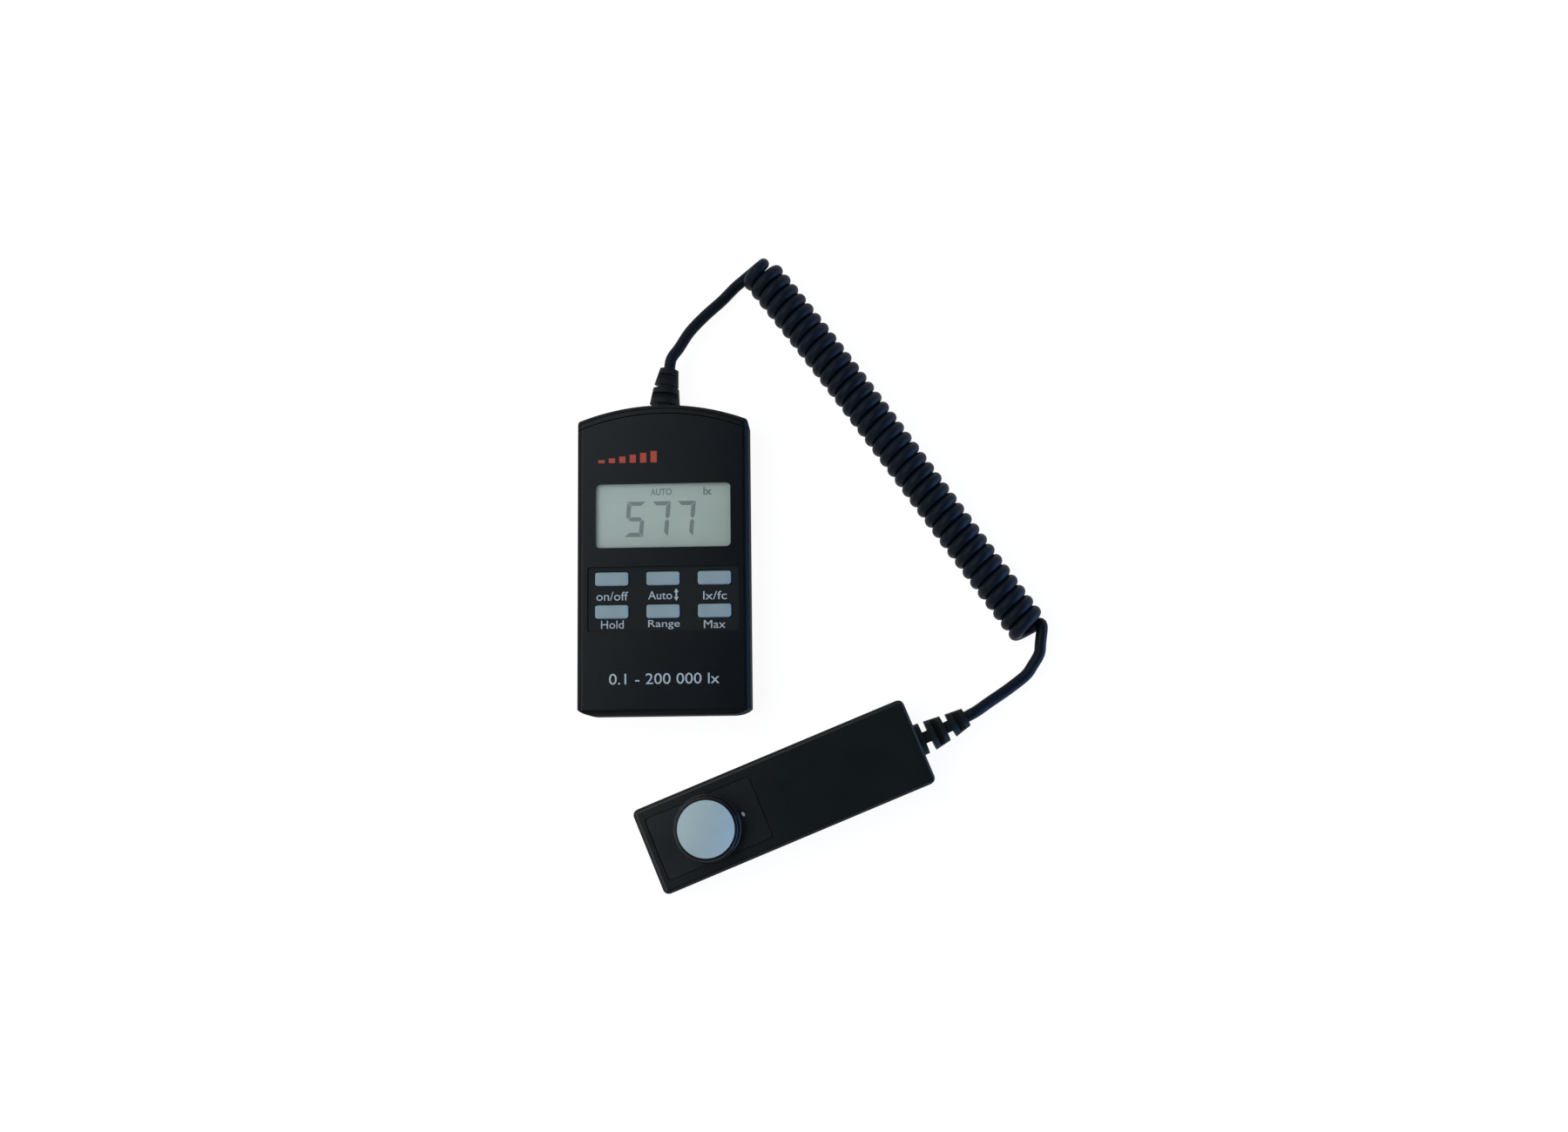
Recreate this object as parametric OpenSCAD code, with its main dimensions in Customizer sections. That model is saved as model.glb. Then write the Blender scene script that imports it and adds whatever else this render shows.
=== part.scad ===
// Handheld lux meter with a light sensor probe on a curly cord.
// The meter lies on its back with its lower end toward -Y. The cord leaves its curved upper end toward +Y.
// The origin is the middle of the meter's back, and lengths are in millimetres.

/* [Meter case] */
// Width of the case
case_w = 65.6; // [64:0.1:72]
// Length of the case along its middle
case_l = 119; // [117:0.5:126]
// Thickness of the case
case_h = 19; // [18.8:0.1:22]
// Thickness of the case walls
case_wall = 2.2; // [2:0.1:2.4]
// Radius of the curved upper end
end_arc_r = 90; // [70:5:140]
// Corner radius beside the curved end
upper_corner_r = 2.6; // [2.6:0.2:6]
// Reach of a lower corner's curve along the lower end
lower_corner_w = 6.6; // [4:0.2:9]
// Reach of a lower corner's curve along the side
lower_corner_l = 2.4; // [1.6:0.1:3.6]
// Rounding of the front edges
front_edge_r = 2.4; // [1.8:0.1:2.5]
// Rounding of the back edges
back_edge_r = 2.5; // [1.8:0.1:2.5]
// Height of the parting line above the back
parting_z = 9.5; // [8.8:0.1:11]
// Width of the parting line
parting_gap = 0.3; // [0.2:0.05:0.5]
// Depth of the end cap at the curved end
cap_depth = 3.4; // [3:0.1:4.5]
// Width of the seam below the end cap
seam_gap = 0.4; // [0.3:0.05:0.6]
// Length of the end cap's tongue inside the shells
tongue_l = 3; // [2:0.5:5]
// Thickness of the end cap's tongue
tongue_t = 1.4; // [1:0.1:2]

/* [Display] */
// Width of the window opening
window_w = 51.6; // [46:0.2:53]
// Height of the window opening along the case
window_l = 24.6; // [20:0.2:26]
// Middle of the window above the middle of the case
window_y = 16.4; // [14:0.2:20]
// Corner radius of the window opening
window_r = 1.7; // [1:0.1:3]
// Thickness of the clear pane
pane_t = 1.2; // [0.8:0.1:1.4]
// Overlap of the pane behind the window's edge
pane_lap = 1.6; // [1:0.1:2]
// Thickness of the display glass
lcd_t = 2.2; // [1.6:0.1:2.8]
// Overlap of the display glass behind the window's edge
lcd_lap = 1.2; // [1:0.1:1.6]
// Space between the display glass and the pane
lcd_gap = 0.05; // [0.05:0.05:0.3]
// Width of each elastomer connector strip
connector_w = 2.4; // [1.6:0.2:3.2]

/* [Name field] */
// Width of the bare name field
plate_w = 48; // [30:0.5:54]
// Height of the name field along the case
plate_l = 8.4; // [6:0.2:10]
// Depth of the name field
plate_depth = 0.25; // [0.1:0.05:0.4]
// Distance of the name field's middle above the case's lower end
plate_rise = 13.6; // [12:0.2:15]

/* [Keypad] */
// Width of a key
key_w = 12.6; // [10:0.2:14]
// Height of a key along the case
key_l = 5.1; // [4:0.1:6.5]
// Corner radius of a key
key_r = 1.1; // [0.6:0.1:1.8]
// Rounding of a key's upper edge
key_edge_r = 0.6; // [0.3:0.1:0.9]
// Distance between the key columns
key_pitch_x = 19.5; // [18:0.1:20.5]
// Distance between the key rows
key_pitch_y = 12.5; // [11.5:0.1:13.5]
// Middle of the keys, below the middle of the case
keypad_y = 14.1; // [13:0.1:15]
// Height of a key's top above the case's face
key_proud = 0.4; // [0.2:0.1:0.8]
// Travel of a key
key_travel = 0.6; // [0.4:0.05:0.7]
// Clearance around a key
key_gap = 0.3; // [0.25:0.05:0.4]
// Overhang of the rim that holds a key under its opening
key_rim = 0.8; // [0.6:0.1:1.2]
// Width of the keypad recess
recess_w = 57.6; // [56:0.2:60]
// Height of the keypad recess along the case
recess_l = 24.8; // [23.5:0.2:26]
// Space of the recess below the lower key row's middle
recess_drop = 7.6; // [7:0.1:8]
// Visible depth of the recess
recess_depth = 0.8; // [0.5:0.1:0.9]
// Thickness of the keypad inlay
inlay_t = 0.7; // [0.5:0.1:0.8]
// Side of a switch housing
switch_w = 6; // [5:0.2:7]
// Height of a switch housing
switch_h = 3.6; // [3:0.1:4]
// Radius of a switch plunger
plunger_r = 1.7; // [1.3:0.1:2.2]
// Clearance around a plunger
plunger_gap = 0.2; // [0.1:0.05:0.3]
// Floor of a switch housing under its plunger
switch_floor = 0.9; // [0.6:0.1:1.2]
// Height of a plunger above its housing
plunger_proud = 0.9; // [0.8:0.05:1.2]

/* [Main board] */
// Space between the main board and each side wall
board_gap = 2.4; // [1.6:0.1:4]
// Thickness of the main board
board_t = 1.6; // [1:0.1:2]
// Height of the main board's underside above the case's back
board_z = 8; // [7.5:0.1:8.4]
// Upper end of the board, above the middle of the case
board_top = 45; // [42:0.5:46]
// Corner radius of the main board
board_r = 2; // [1:0.5:4]
// Side of the largest chip on the board
chip_w = 12; // [8:0.5:14]
// Height of the chips
chip_h = 1.6; // [1:0.1:1.8]
// Width of the cord's socket on the board
header_w = 8; // [6:0.5:12]
// Length of the cord's socket
header_l = 5; // [4:0.5:7]
// Height of the cord's socket
header_h = 4.4; // [3:0.1:5]
// Radius of the cord's wires
wire_r = 0.5; // [0.3:0.05:0.7]
// Distance between the cord's wires
wire_pitch = 2; // [1.6:0.1:2.4]
// Space between the board's lower end and the bay wall
board_bay_gap = 1.2; // [0.5:0.1:2]

/* [Screws] */
// Radius of a screw shank
screw_r = 1.1; // [0.9:0.05:1.3]
// Radius of a screw head
screw_head_r = 2.4; // [2:0.1:2.6]
// Height of a screw head
screw_head_h = 1.8; // [1.4:0.1:2.2]
// Depth of a screw head below the case's back
screw_sink = 1.2; // [0.6:0.1:1.6]
// Clearance around the screws
screw_gap = 0.2; // [0.15:0.05:0.4]
// Wall around a screw hole
boss_wall = 1.3; // [1:0.1:1.5]
// Length of thread in the front half
thread_l = 4.5; // [3:0.1:5]
// Distance of the case screws from the case's sides
case_screw_side = 8.1; // [7.6:0.1:9]
// Distance of the upper case screws above the middle of the case
case_screw_top = 39; // [37:0.5:40]
// Distance of the lower case screws above the bay wall
case_screw_low = 5.2; // [5:0.1:6]

/* [Battery bay] */
// Diameter of the AA cell
cell_d = 14.2; // [13.7:0.1:14.3]
// Length of the AA cell with its button
cell_l = 50; // [49:0.1:50.5]
// Radius of the cell's button
button_r = 2.75; // [2.4:0.05:3]
// Height of the cell's button
button_h = 1.4; // [1:0.1:1.8]
// Clearance around the cell
cell_gap = 0.2; // [0.15:0.05:0.3]
// Distance of the cell's middle above the case's lower end
cell_rise = 12.8; // [12:0.1:14]
// Space for the contact at each end of the cell
contact_space = 1.9; // [1.6:0.1:2.6]
// Thickness of the contact sheet
contact_t = 0.5; // [0.3:0.1:0.8]
// Side of a contact sheet
contact_w = 9.4; // [8:0.2:12]
// Radius of the plus contact's pad
plus_pad_r = 1.9; // [1.4:0.1:2.4]
// Radius of the minus contact's pad
minus_pad_r = 2.8; // [2:0.1:4]
// Thickness of the walls around the bay
bay_wall = 1.2; // [1:0.1:1.4]
// Thickness of the battery cover
cover_t = 1.8; // [1.4:0.1:1.9]
// Depth of the cover below the case's back
cover_sink = 0.3; // [0.2:0.05:0.4]
// Clearance around the cover
cover_gap = 0.3; // [0.2:0.05:0.4]
// Width of the cover without its tongues
cover_w = 54; // [48:0.5:55]
// Width of each guide tongue of the cover
cover_tongue_w = 1.3; // [1:0.1:1.5]
// Thickness of the guide tongues
cover_tongue_t = 0.9; // [0.6:0.1:1]
// Width of the grip on the cover
grip_w = 18; // [12:1:30]
// Distance of the grip from the cover's upper edge
grip_end = 3; // [2:0.5:5]
// Depth of the grooves between the grip ridges
grip_depth = 0.6; // [0.3:0.1:0.8]
// Number of grip ridges on the cover
grip_count = 7; // [3:1:9]
// Distance between the grip ridges
grip_pitch = 1.6; // [1.4:0.1:2]

/* [Strain reliefs] */
// Height of both reliefs above the table
relief_z = 9.5; // [9:0.1:10]
// Radius of a relief's flange
flange_r = 6.1; // [5.4:0.05:6.4]
// Thickness of a relief's flange
flange_t = 2.2; // [1.8:0.1:3]
// Length of the middle ring pair
middle_l = 6.3; // [5:0.1:7]
// Radius at the inner end of the middle ring pair
middle_r1 = 5.9; // [5.2:0.05:6]
// Radius at the outer end of the middle ring pair
middle_r2 = 5.05; // [4.6:0.05:5.6]
// Length of the end ring pair
tip_l = 6.6; // [5.5:0.1:8]
// Radius at the inner end of the end ring pair
tip_r1 = 4.75; // [4.4:0.05:5.2]
// Radius at the outer end of the end ring pair
tip_r2 = 3.65; // [3:0.05:4.2]
// Width of the slots in the ring pairs
slot_w = 2.2; // [1.6:0.1:2.6]
// Width of the probe relief's slots between the ring pairs, on the inside of its bend
open_slot_w = 2.2; // [1.8:0.1:3]
// Width of the meter relief's slots between the ring pairs, on the inside of its bend
shut_slot_w = 0.8; // [0.6:0.1:1.6]
// Thickness of the webs that the slots leave
web_t = 4.4; // [3:0.1:5]
// Half height of the web behind the flange
web_r1 = 4.8; // [3.5:0.1:5]
// Half height of the web between the ring pairs
web_r2 = 3.8; // [2.8:0.1:3.9]
// Radius of a relief's neck in its wall
neck_r = 4.2; // [3.6:0.1:4.6]
// Radius of the collar behind the wall
collar_r = 5.6; // [5:0.1:6]
// Thickness of the collar behind the wall
collar_t = 1.5; // [1:0.1:2]
// Depth of the meter relief's flange in the end cap
relief_sink = 2; // [1.4:0.1:2.4]
// Bend of the meter relief at each slot between its ring pairs, in degrees
relief_bend = 5; // [0:0.5:6]
// Bend of the probe relief at each slot between its ring pairs, in degrees
probe_relief_bend = 3; // [0:0.5:5]
// Clearance around a relief in its wall
relief_gap = 0.15; // [0.1:0.05:0.3]

/* [Probe] */
// Length of the probe's case
probe_l = 109.5; // [100:0.5:115]
// Width of the probe's case
probe_w = 33.6; // [30:0.1:35]
// Height of the probe's case
probe_h = 19; // [18.6:0.1:21]
// Thickness of the probe's walls
probe_wall = 2; // [1.8:0.1:2.2]
// Corner radius of the probe
probe_corner_r = 2.6; // [2.4:0.1:4]
// Rounding of the probe's long edges
probe_edge_r = 1.6; // [1:0.1:2.2]
// Place of the probe's middle, to the right of the meter's middle
probe_x = 44.9; // [44:0.1:48]
// Place of the probe's middle, below the meter's middle
probe_drop = 90.5; // [90:0.1:93]
// Turn of the probe in degrees
probe_turn = 22; // [20:0.2:24]
// Length of the sensor panel
panel_l = 41.5; // [38:0.5:44]
// Width of the sensor panel
panel_w = 24; // [22:0.5:25]
// Thickness of the sensor panel
panel_t = 1.1; // [0.8:0.1:1.2]
// Distance of the sensor panel from the head end
panel_end = 3.7; // [3:0.1:4]
// Seam around the sensor panel
panel_seam = 0.4; // [0.3:0.05:0.5]
// Width of the probe's board
probe_board_w = 15; // [12:0.5:15.4]
// Thickness of the probe's board
probe_board_t = 1.2; // [1:0.1:1.6]
// Distance of the probe's board from the head wall
probe_board_end = 1.5; // [1:0.5:3]
// Distance of the probe's board from the cord wall
probe_board_cord_end = 16; // [14:0.5:20]
// Length of the wires on the probe's board
wire_lap = 3; // [2:0.5:5]
// Distance of the probe screws behind the sensor panel
probe_screw_panel = 5; // [4:0.5:8]
// Distance of the probe screws from the cord wall
probe_screw_end = 9; // [8:0.5:11]
// Distance of each rib from its end of the probe's board
probe_rib_end = 5; // [4:0.5:7]
// Distance between the probe screws across the probe
probe_screw_v = 20.6; // [20.4:0.1:20.8]

/* [Sensor head] */
// Distance of the sensor's middle from the head end
sensor_end = 24.1; // [23:0.1:25]
// Radius of the diffuser
diffuser_r = 10.6; // [10:0.1:12]
// Height of the diffuser's crown
crown_h = 1.5; // [0.8:0.1:2.5]
// Height of the diffuser's straight side
diffuser_h = 4.6; // [3:0.1:5]
// Height of the diffuser's straight side above the turret's rim
diffuser_proud = 0.4; // [0.2:0.1:0.8]
// Clearance around the diffuser and the filter
optic_gap = 0.1; // [0.05:0.05:0.2]
// Wall of the turret around the diffuser
turret_wall = 1.1; // [1:0.1:2]
// Widening of the turret toward its foot
turret_draft = 0.3; // [0:0.1:1.2]
// Height of the turret's rim above the probe's face
turret_h = 9.4; // [8.6:0.1:11]
// Radius of the fillet at the turret's foot
turret_fillet = 0.8; // [0.6:0.1:1.6]
// Rounding of the turret's rim
turret_edge_r = 0.6; // [0.3:0.1:0.8]
// Radius of the colour filter
filter_r = 7.6; // [6.5:0.1:8]
// Thickness of the colour filter
filter_t = 3; // [2:0.1:3.5]
// Width of the ledge under the filter
filter_ledge = 1.2; // [0.8:0.1:1.6]
// Wall of the turret around the filter
spigot_wall = 1.6; // [1.2:0.1:2]
// Depth of the turret's spigot below the probe's inner face
spigot_drop = 1; // [0.5:0.1:1.5]
// Radius of the photodiode
diode_r = 4.6; // [3.5:0.1:5]
// Radius of the photodiode's can
can_r = 3.9; // [3:0.1:4.4]
// Thickness of the photodiode's base
diode_base = 1; // [0.6:0.1:1.4]
// Height of the photodiode
diode_h = 3.2; // [2.4:0.1:3.4]
// Space between the photodiode and the filter's holder
diode_gap = 0.4; // [0.3:0.05:0.6]

/* [Cord] */
// Diameter of the cord
cord_d = 4.4; // [3.6:0.1:4.4]
// Radius of the curls at the middle of the cord
curl_r = 5.5; // [5.2:0.1:6]
// Distance from curl to curl
curl_pitch = 4.9; // [4.9:0.05:5.2]
// Space between the cord's pieces where their ends meet
cord_joint = 0.05; // [0.02:0.01:0.1]
// Number of whole curls
curl_count = 36; // [20:1:40]
// Greatest sideways bow of the coil
coil_bow = 1.1; // [0:0.1:1.5]

/* [Hidden] */
$fn = 64;
// Number of rings in one curl, and of sides around the curly cord and the plain leads
curl_rings = 8;
curl_sides = 6;
lead_sides = 8;
// Smallest rounding that an inner corner keeps
least_r = 0.4;
// Overlap with which pieces of one solid are joined, and overrun of a cut past a face
weld = 0.3;
overrun = 1;
// Reach of a cutting block that has to pass the whole object
far = 300;

// Levels of the meter, from its back to its face
back_in_z = case_wall;
face_in_z = case_h - case_wall;
board_top_z = board_z + board_t;
pocket_z = case_h - recess_depth - inlay_t;
pane_z = face_in_z;
lcd_z = pane_z - lcd_t - lcd_gap;
key_top_z = case_h + key_proud;
rim_top_z = face_in_z - key_gap;
rim_z = rim_top_z - key_rim;
plunger_top_z = board_top_z + switch_h + plunger_proud;
plunger_low_z = board_top_z + switch_floor + key_gap + key_travel;
low_y = -case_l / 2;
arc_y = case_l / 2 - end_arc_r;
lower_corner_r = (pow(lower_corner_w, 2) + pow(lower_corner_l, 2)) / (2 * lower_corner_l);
lower_corner_y = low_y + lower_corner_r;
cap_fit = case_wall + relief_gap;
cap_inner = max(cap_depth, cap_fit + tongue_t);

// Keys, counted along each row from the upper left
key_places = [for (row = [0, 1]) for (column = [-1, 0, 1])
    [column * key_pitch_x, -keypad_y + (0.5 - row) * key_pitch_y]];
recess_y = -keypad_y - key_pitch_y / 2 - recess_drop + recess_l / 2;

// Battery bay
cell_y = low_y + cell_rise;
cell_z = cover_sink + cover_t + cell_gap + cell_d / 2;
bay_half_l = cell_l / 2 + contact_space;
bay_top_y = cell_y + cell_d / 2 + cell_gap;
bay_low_y = cell_y - cell_d / 2 - cell_gap;
bay_wall_y = bay_top_y + bay_wall;
cover_top_y = bay_top_y - cover_gap;

// Main board and case screws
board_w = case_w - 2 * (case_wall + board_gap);
case_screw_x = case_w - 2 * case_screw_side;
case_screw_places = [for (s = [-1, 1]) for (y = [case_screw_top, bay_wall_y + case_screw_low])
    [s * case_screw_x / 2, y]];
screw_seat_z = screw_sink + screw_head_h;
screw_dome_r = 1.6 * screw_head_r;
boss_r = screw_head_r + screw_gap + boss_wall;
nut_r = screw_r + boss_wall;
screw_end_z = board_top_z + thread_l;
board_low_y = bay_wall_y + board_bay_gap;

// Probe, along its own length and width with the cord end toward +X
head_x = -probe_l / 2;
probe_split_z = relief_z;
sensor_x = head_x + sensor_end;
panel_x = head_x + panel_end + panel_l / 2;
turret_r = diffuser_r + optic_gap + turret_wall;
diffuser_z = probe_h + turret_h + diffuser_proud - diffuser_h;
spigot_r = filter_r + optic_gap + spigot_wall;
spigot_z = probe_h - probe_wall - spigot_drop;
filter_z = spigot_z + filter_ledge;
diode_top_z = spigot_z - diode_gap;
probe_board_z = diode_top_z - diode_h - probe_board_t;
probe_board_x = head_x + probe_wall + probe_board_end;
probe_board_l = probe_l / 2 - probe_wall - probe_board_cord_end - probe_board_x;
probe_screw_x = [panel_x + panel_l / 2 + probe_screw_panel, probe_l / 2 - probe_wall - probe_screw_end];
probe_screw_places = [for (s = [-1, 1]) for (x = probe_screw_x) [x, s * probe_screw_v / 2]];

// Strain reliefs
meter_tail = relief_tail(shut_slot_w, relief_bend);
probe_tail = relief_tail(open_slot_w, probe_relief_bend);
meter_collar_y = arc_y + sqrt(pow(end_arc_r - cap_inner, 2) - pow(collar_r, 2)) - relief_gap;
wire_z = board_top_z + header_h / 2;
meter_relief_root = [0, case_l / 2 - relief_sink, relief_z];
meter_lead_dir = [sin(2 * relief_bend), cos(2 * relief_bend), 0];
meter_relief_end = meter_relief_root + [meter_tail.x, meter_tail.y, 0];
probe_lead_turn = probe_turn + 2 * probe_relief_bend;
probe_lead_dir = [cos(probe_lead_turn), sin(probe_lead_turn), 0];
probe_relief_end = [probe_x, -probe_drop, relief_z]
    + (probe_l / 2 + probe_tail.y) * [cos(probe_turn), sin(probe_turn), 0]
    + probe_tail.x * [-sin(probe_turn), cos(probe_turn), 0];

// Curly cord: it lies on the table, starts with its axis at this place and runs on at this angle
coil_start = [35.8, 115.6];
coil_turn = -54.4;
coil_axis = [cos(coil_turn), sin(coil_turn), 0];
coil_side = [-sin(coil_turn), cos(coil_turn), 0];
coil_z = curl_r + cord_d / 2;
// It comes in flat on the table and bends up into the top of the first curl
coil_entry = [34.1, 115.2, cord_d / 2];
coil_entry_turn = 40;
coil_entry_dir = [cos(coil_entry_turn), sin(coil_entry_turn), 0];
coil_entry_pull = 5.2;
// It leaves the last curl this far past its bottom, in degrees, and bends aside
coil_leave = 45;
coil_exit = [143, -33.2, 7];
coil_exit_turn = -98;
coil_exit_dir = [cos(coil_exit_turn), sin(coil_exit_turn), 0];
coil_exit_pull = 2.5;

// Free points of the two plain leads
meter_lead_points = [[5.5, 83.6, 8.9], [9.7, 90.4, 7.8], [15.4, 97, 6], [22.3, 103.8, 4]];
probe_lead_points = [[140, -41.7, 6.2], [137.6, -45.2, 5.8], [133.6, -48.5, 5.8],
    [128.4, -52.2, 6.4], [122.6, -56, 7.8]];

function unit(v) = v / norm(v);
// Place of a point beyond a bend by an angle to the right, about a hinge at r to the side and y along
function bent(p, r, y, angle) = [r + (p.x - r) * cos(angle) + p.y * sin(angle),
    y - (p.x - r) * sin(angle) + p.y * cos(angle)];
// End of a strain relief with bent slots, to the side of its root and along from it
function relief_tail(gap, bend) =
    bent(bent([0, tip_l], tip_r1, middle_l + gap, bend), middle_r1, flange_t + gap, bend);
// Sideways place of the coil's axis at a share of its length, with its greatest bow a third of the way along
function bow_at(t) = coil_bow * 27 / 4 * t * pow(1 - t, 2);
function curl_point(turn) = [coil_start.x, coil_start.y, coil_z]
    + coil_axis * curl_pitch * turn / 360 + coil_side * bow_at(turn / (360 * curl_count))
    + curl_r * (coil_side * sin(turn) - [0, 0, cos(turn)]);
function curl_dir(turn) = unit(coil_axis * curl_pitch / (2 * PI)
    + curl_r * (coil_side * cos(turn) + [0, 0, sin(turn)]));
function bezier(a, b, c, d, t) = pow(1 - t, 3) * a + 3 * t * pow(1 - t, 2) * b
    + 3 * t * t * (1 - t) * c + pow(t, 3) * d;

// Middle points of the curly cord: a straight end, the bend into the first curl's top, the curls, the bend
// out of the last one and a straight end
curls_from = 180;
curls_to = curl_count * 360 + coil_leave;
coil_first = coil_entry - cord_d * coil_entry_dir;
coil_bend_end = coil_exit - cord_d * coil_exit_dir;
coil_points = concat(
    [for (s = [1, 1 / 2]) coil_entry - s * cord_d * coil_entry_dir],
    [for (t = [0:1 / 4:3 / 4]) bezier(
        coil_entry, coil_entry + coil_entry_pull * coil_entry_dir,
        curl_point(curls_from) - coil_entry_pull * curl_dir(curls_from), curl_point(curls_from), t)],
    [for (turn = [curls_from:360 / curl_rings:curls_to]) curl_point(turn)],
    [for (t = [1 / 3, 2 / 3, 1]) bezier(
        curl_point(curls_to), curl_point(curls_to) + coil_exit_pull * curl_dir(curls_to),
        coil_bend_end - coil_exit_pull * coil_exit_dir, coil_bend_end, t)],
    [coil_exit]);
meter_route = concat(
    [for (d = [cord_joint, cord_d]) meter_relief_end + d * meter_lead_dir],
    meter_lead_points,
    [for (d = [cord_d, cord_joint]) coil_first - d * coil_entry_dir]);
probe_route = concat(
    [for (d = [cord_joint, cord_d]) coil_exit + d * coil_exit_dir],
    probe_lead_points,
    [for (d = [cord_d, cord_joint]) probe_relief_end + d * probe_lead_dir]);

// Least distance between the cord's surfaces at points that lie over half a curl apart along it
coil_gap = min([for (i = [0:len(coil_points) - 1])
    for (j = [i + curl_rings / 2 + 1:min(i + 2 * curl_rings, len(coil_points) - 1)])
        norm(coil_points[i] - coil_points[j])]) - cord_d;
echo(least_gap_between_curls = coil_gap);

key_count = len(key_places);

// Colours
case_colour = "#1b1d20";
rubber_colour = "#141517";
key_colour = "#aebccb";
glass_colour = "#c9d6da";
lcd_colour = "#9aa7a4";
white_colour = "#f2f2ee";
board_colour = "#1f5a3a";
chip_colour = "#26282b";
metal_colour = "#b9bcc0";
cell_colour = "#4a4d52";
filter_colour = "#7fa38a";

// Flat band with rounded side corners, from the height low to high
module rounded_band(half, low, high, r_low, r_high) {
    translate([-half, low + r_low]) square([2 * half, high - low - r_low - r_high]);
    translate([-half + r_high, high - 2 * r_high]) square([2 * (half - r_high), 2 * r_high]);
    translate([-half + r_low, low]) square([2 * (half - r_low), 2 * r_low]);
    for (s = [-1, 1]) {
        translate([s * (half - r_high), high - r_high]) circle(r_high);
        translate([s * (half - r_low), low + r_low]) circle(r_low);
    }
}

// Rectangle with round corners, about its middle
module round_rect(w, l, r) {
    rounded_band(w / 2, -l / 2, l / 2, r, r);
}

// Block with round corners whose upper or lower edges can be rounded too
module soft_block(w, l, low, high, r, r_low, r_high) {
    intersection() {
        translate([0, 0, low]) linear_extrude(high - low) round_rect(w, l, r);
        rotate([90, 0, 0]) linear_extrude(l + overrun, center = true)
            rounded_band(w / 2, low, high, r_low, r_high);
        rotate([90, 0, 90]) linear_extrude(w + overrun, center = true)
            rounded_band(l / 2, low, high, r_low, r_high);
    }
}

// Upright cylinder or bore between two heights
module post(r, low, high) {
    translate([0, 0, low]) cylinder(r = r, h = high - low);
}

// Sides and upper corners of the case seen from the front, past its lower end and past its upper arc
module case_sides(inset) {
    half = case_w / 2 - inset;
    r_up = max(upper_corner_r - inset, least_r);
    fillet_x = half - r_up;
    fillet_y = arc_y + sqrt(pow(end_arc_r - inset - r_up, 2) - pow(fillet_x, 2));
    past_arc = 1.25;
    translate([-half, low_y - overrun]) square([2 * half, fillet_y - low_y + overrun]);
    for (s = [-1, 1]) translate([s * fillet_x, fillet_y]) circle(r_up);
    translate([0, arc_y]) polygon([[0, 0], [fillet_x, fillet_y - arc_y] * past_arc,
        [-fillet_x, fillet_y - arc_y] * past_arc]);
}

// Lower end of the case seen from the front, past its sides, with the curves that cut the lower corners
module lower_end(inset) {
    r = lower_corner_r - inset;
    rounded_band(case_w / 2 - lower_corner_w + r, low_y + inset, case_l, r, r);
}

// Disc about the middle of the end arc, with the case's edge rounding on its rim
module end_disc(inset, r_low, r_high) {
    translate([0, arc_y, 0]) rotate_extrude() intersection() {
        rounded_band(end_arc_r - inset, inset, case_h - inset, r_low, r_high);
        square([end_arc_r, case_h]);
    }
}

// The case's outer form, moved in by inset on every side
module case_form(inset = 0) {
    r_low = max(back_edge_r - inset, least_r);
    r_high = max(front_edge_r - inset, least_r);
    intersection() {
        linear_extrude(case_h) case_sides(inset);
        linear_extrude(case_h) lower_end(inset);
        rotate([90, 0, 0]) linear_extrude(2 * case_l, center = true)
            rounded_band(case_w / 2 - inset, inset, case_h - inset, r_low, r_high);
        rotate([90, 0, 90]) linear_extrude(2 * case_w, center = true) translate([low_y + inset + case_l, 0])
            rounded_band(case_l, inset, case_h - inset, r_low, r_high);
        end_disc(inset, r_low, r_high);
    }
}

// Everything nearer to the arc's middle than depth below the curved end
module inside_arc(depth) {
    translate([0, arc_y, -overrun]) cylinder(r = end_arc_r - depth, h = case_h + 2 * overrun, $fn = 180);
}

// Half space above or below a height
module above(z) {
    translate([-far, -far, z]) cube([2 * far, 2 * far, far]);
}
module below(z) {
    translate([-far, -far, z - far]) cube([2 * far, 2 * far, far]);
}

module at_keys() {
    for (place = key_places) translate([place.x, place.y, 0]) children();
}
module at_case_screws() {
    for (place = case_screw_places) translate([place.x, place.y, 0]) children();
}

module front_shell() {
    color(case_colour) difference() {
        union() {
            difference() {
                intersection() {
                    case_form();
                    inside_arc(cap_depth + seam_gap);
                    above(parting_z + parting_gap / 2);
                }
                case_form(case_wall);
            }
            at_case_screws() post(nut_r, board_top_z, face_in_z + weld);
        }
        at_case_screws() post(screw_r + screw_gap / 2, 0, screw_end_z + overrun);
        translate([0, window_y, face_in_z - overrun])
            linear_extrude(case_h) round_rect(window_w, window_l, window_r);
        translate([0, window_y, face_in_z - overrun]) linear_extrude(overrun + pane_t)
            round_rect(window_w + 2 * pane_lap, window_l + 2 * pane_lap, window_r);
        translate([0, recess_y, pocket_z]) linear_extrude(case_h) round_rect(recess_w, recess_l, key_r);
        translate([0, low_y + plate_rise, case_h - plate_depth])
            linear_extrude(case_h) round_rect(plate_w, plate_l, window_r);
        at_keys() translate([0, 0, face_in_z - overrun])
            linear_extrude(case_h) round_rect(key_w + 2 * key_gap, key_l + 2 * key_gap, key_r + key_gap);
    }
}

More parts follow.
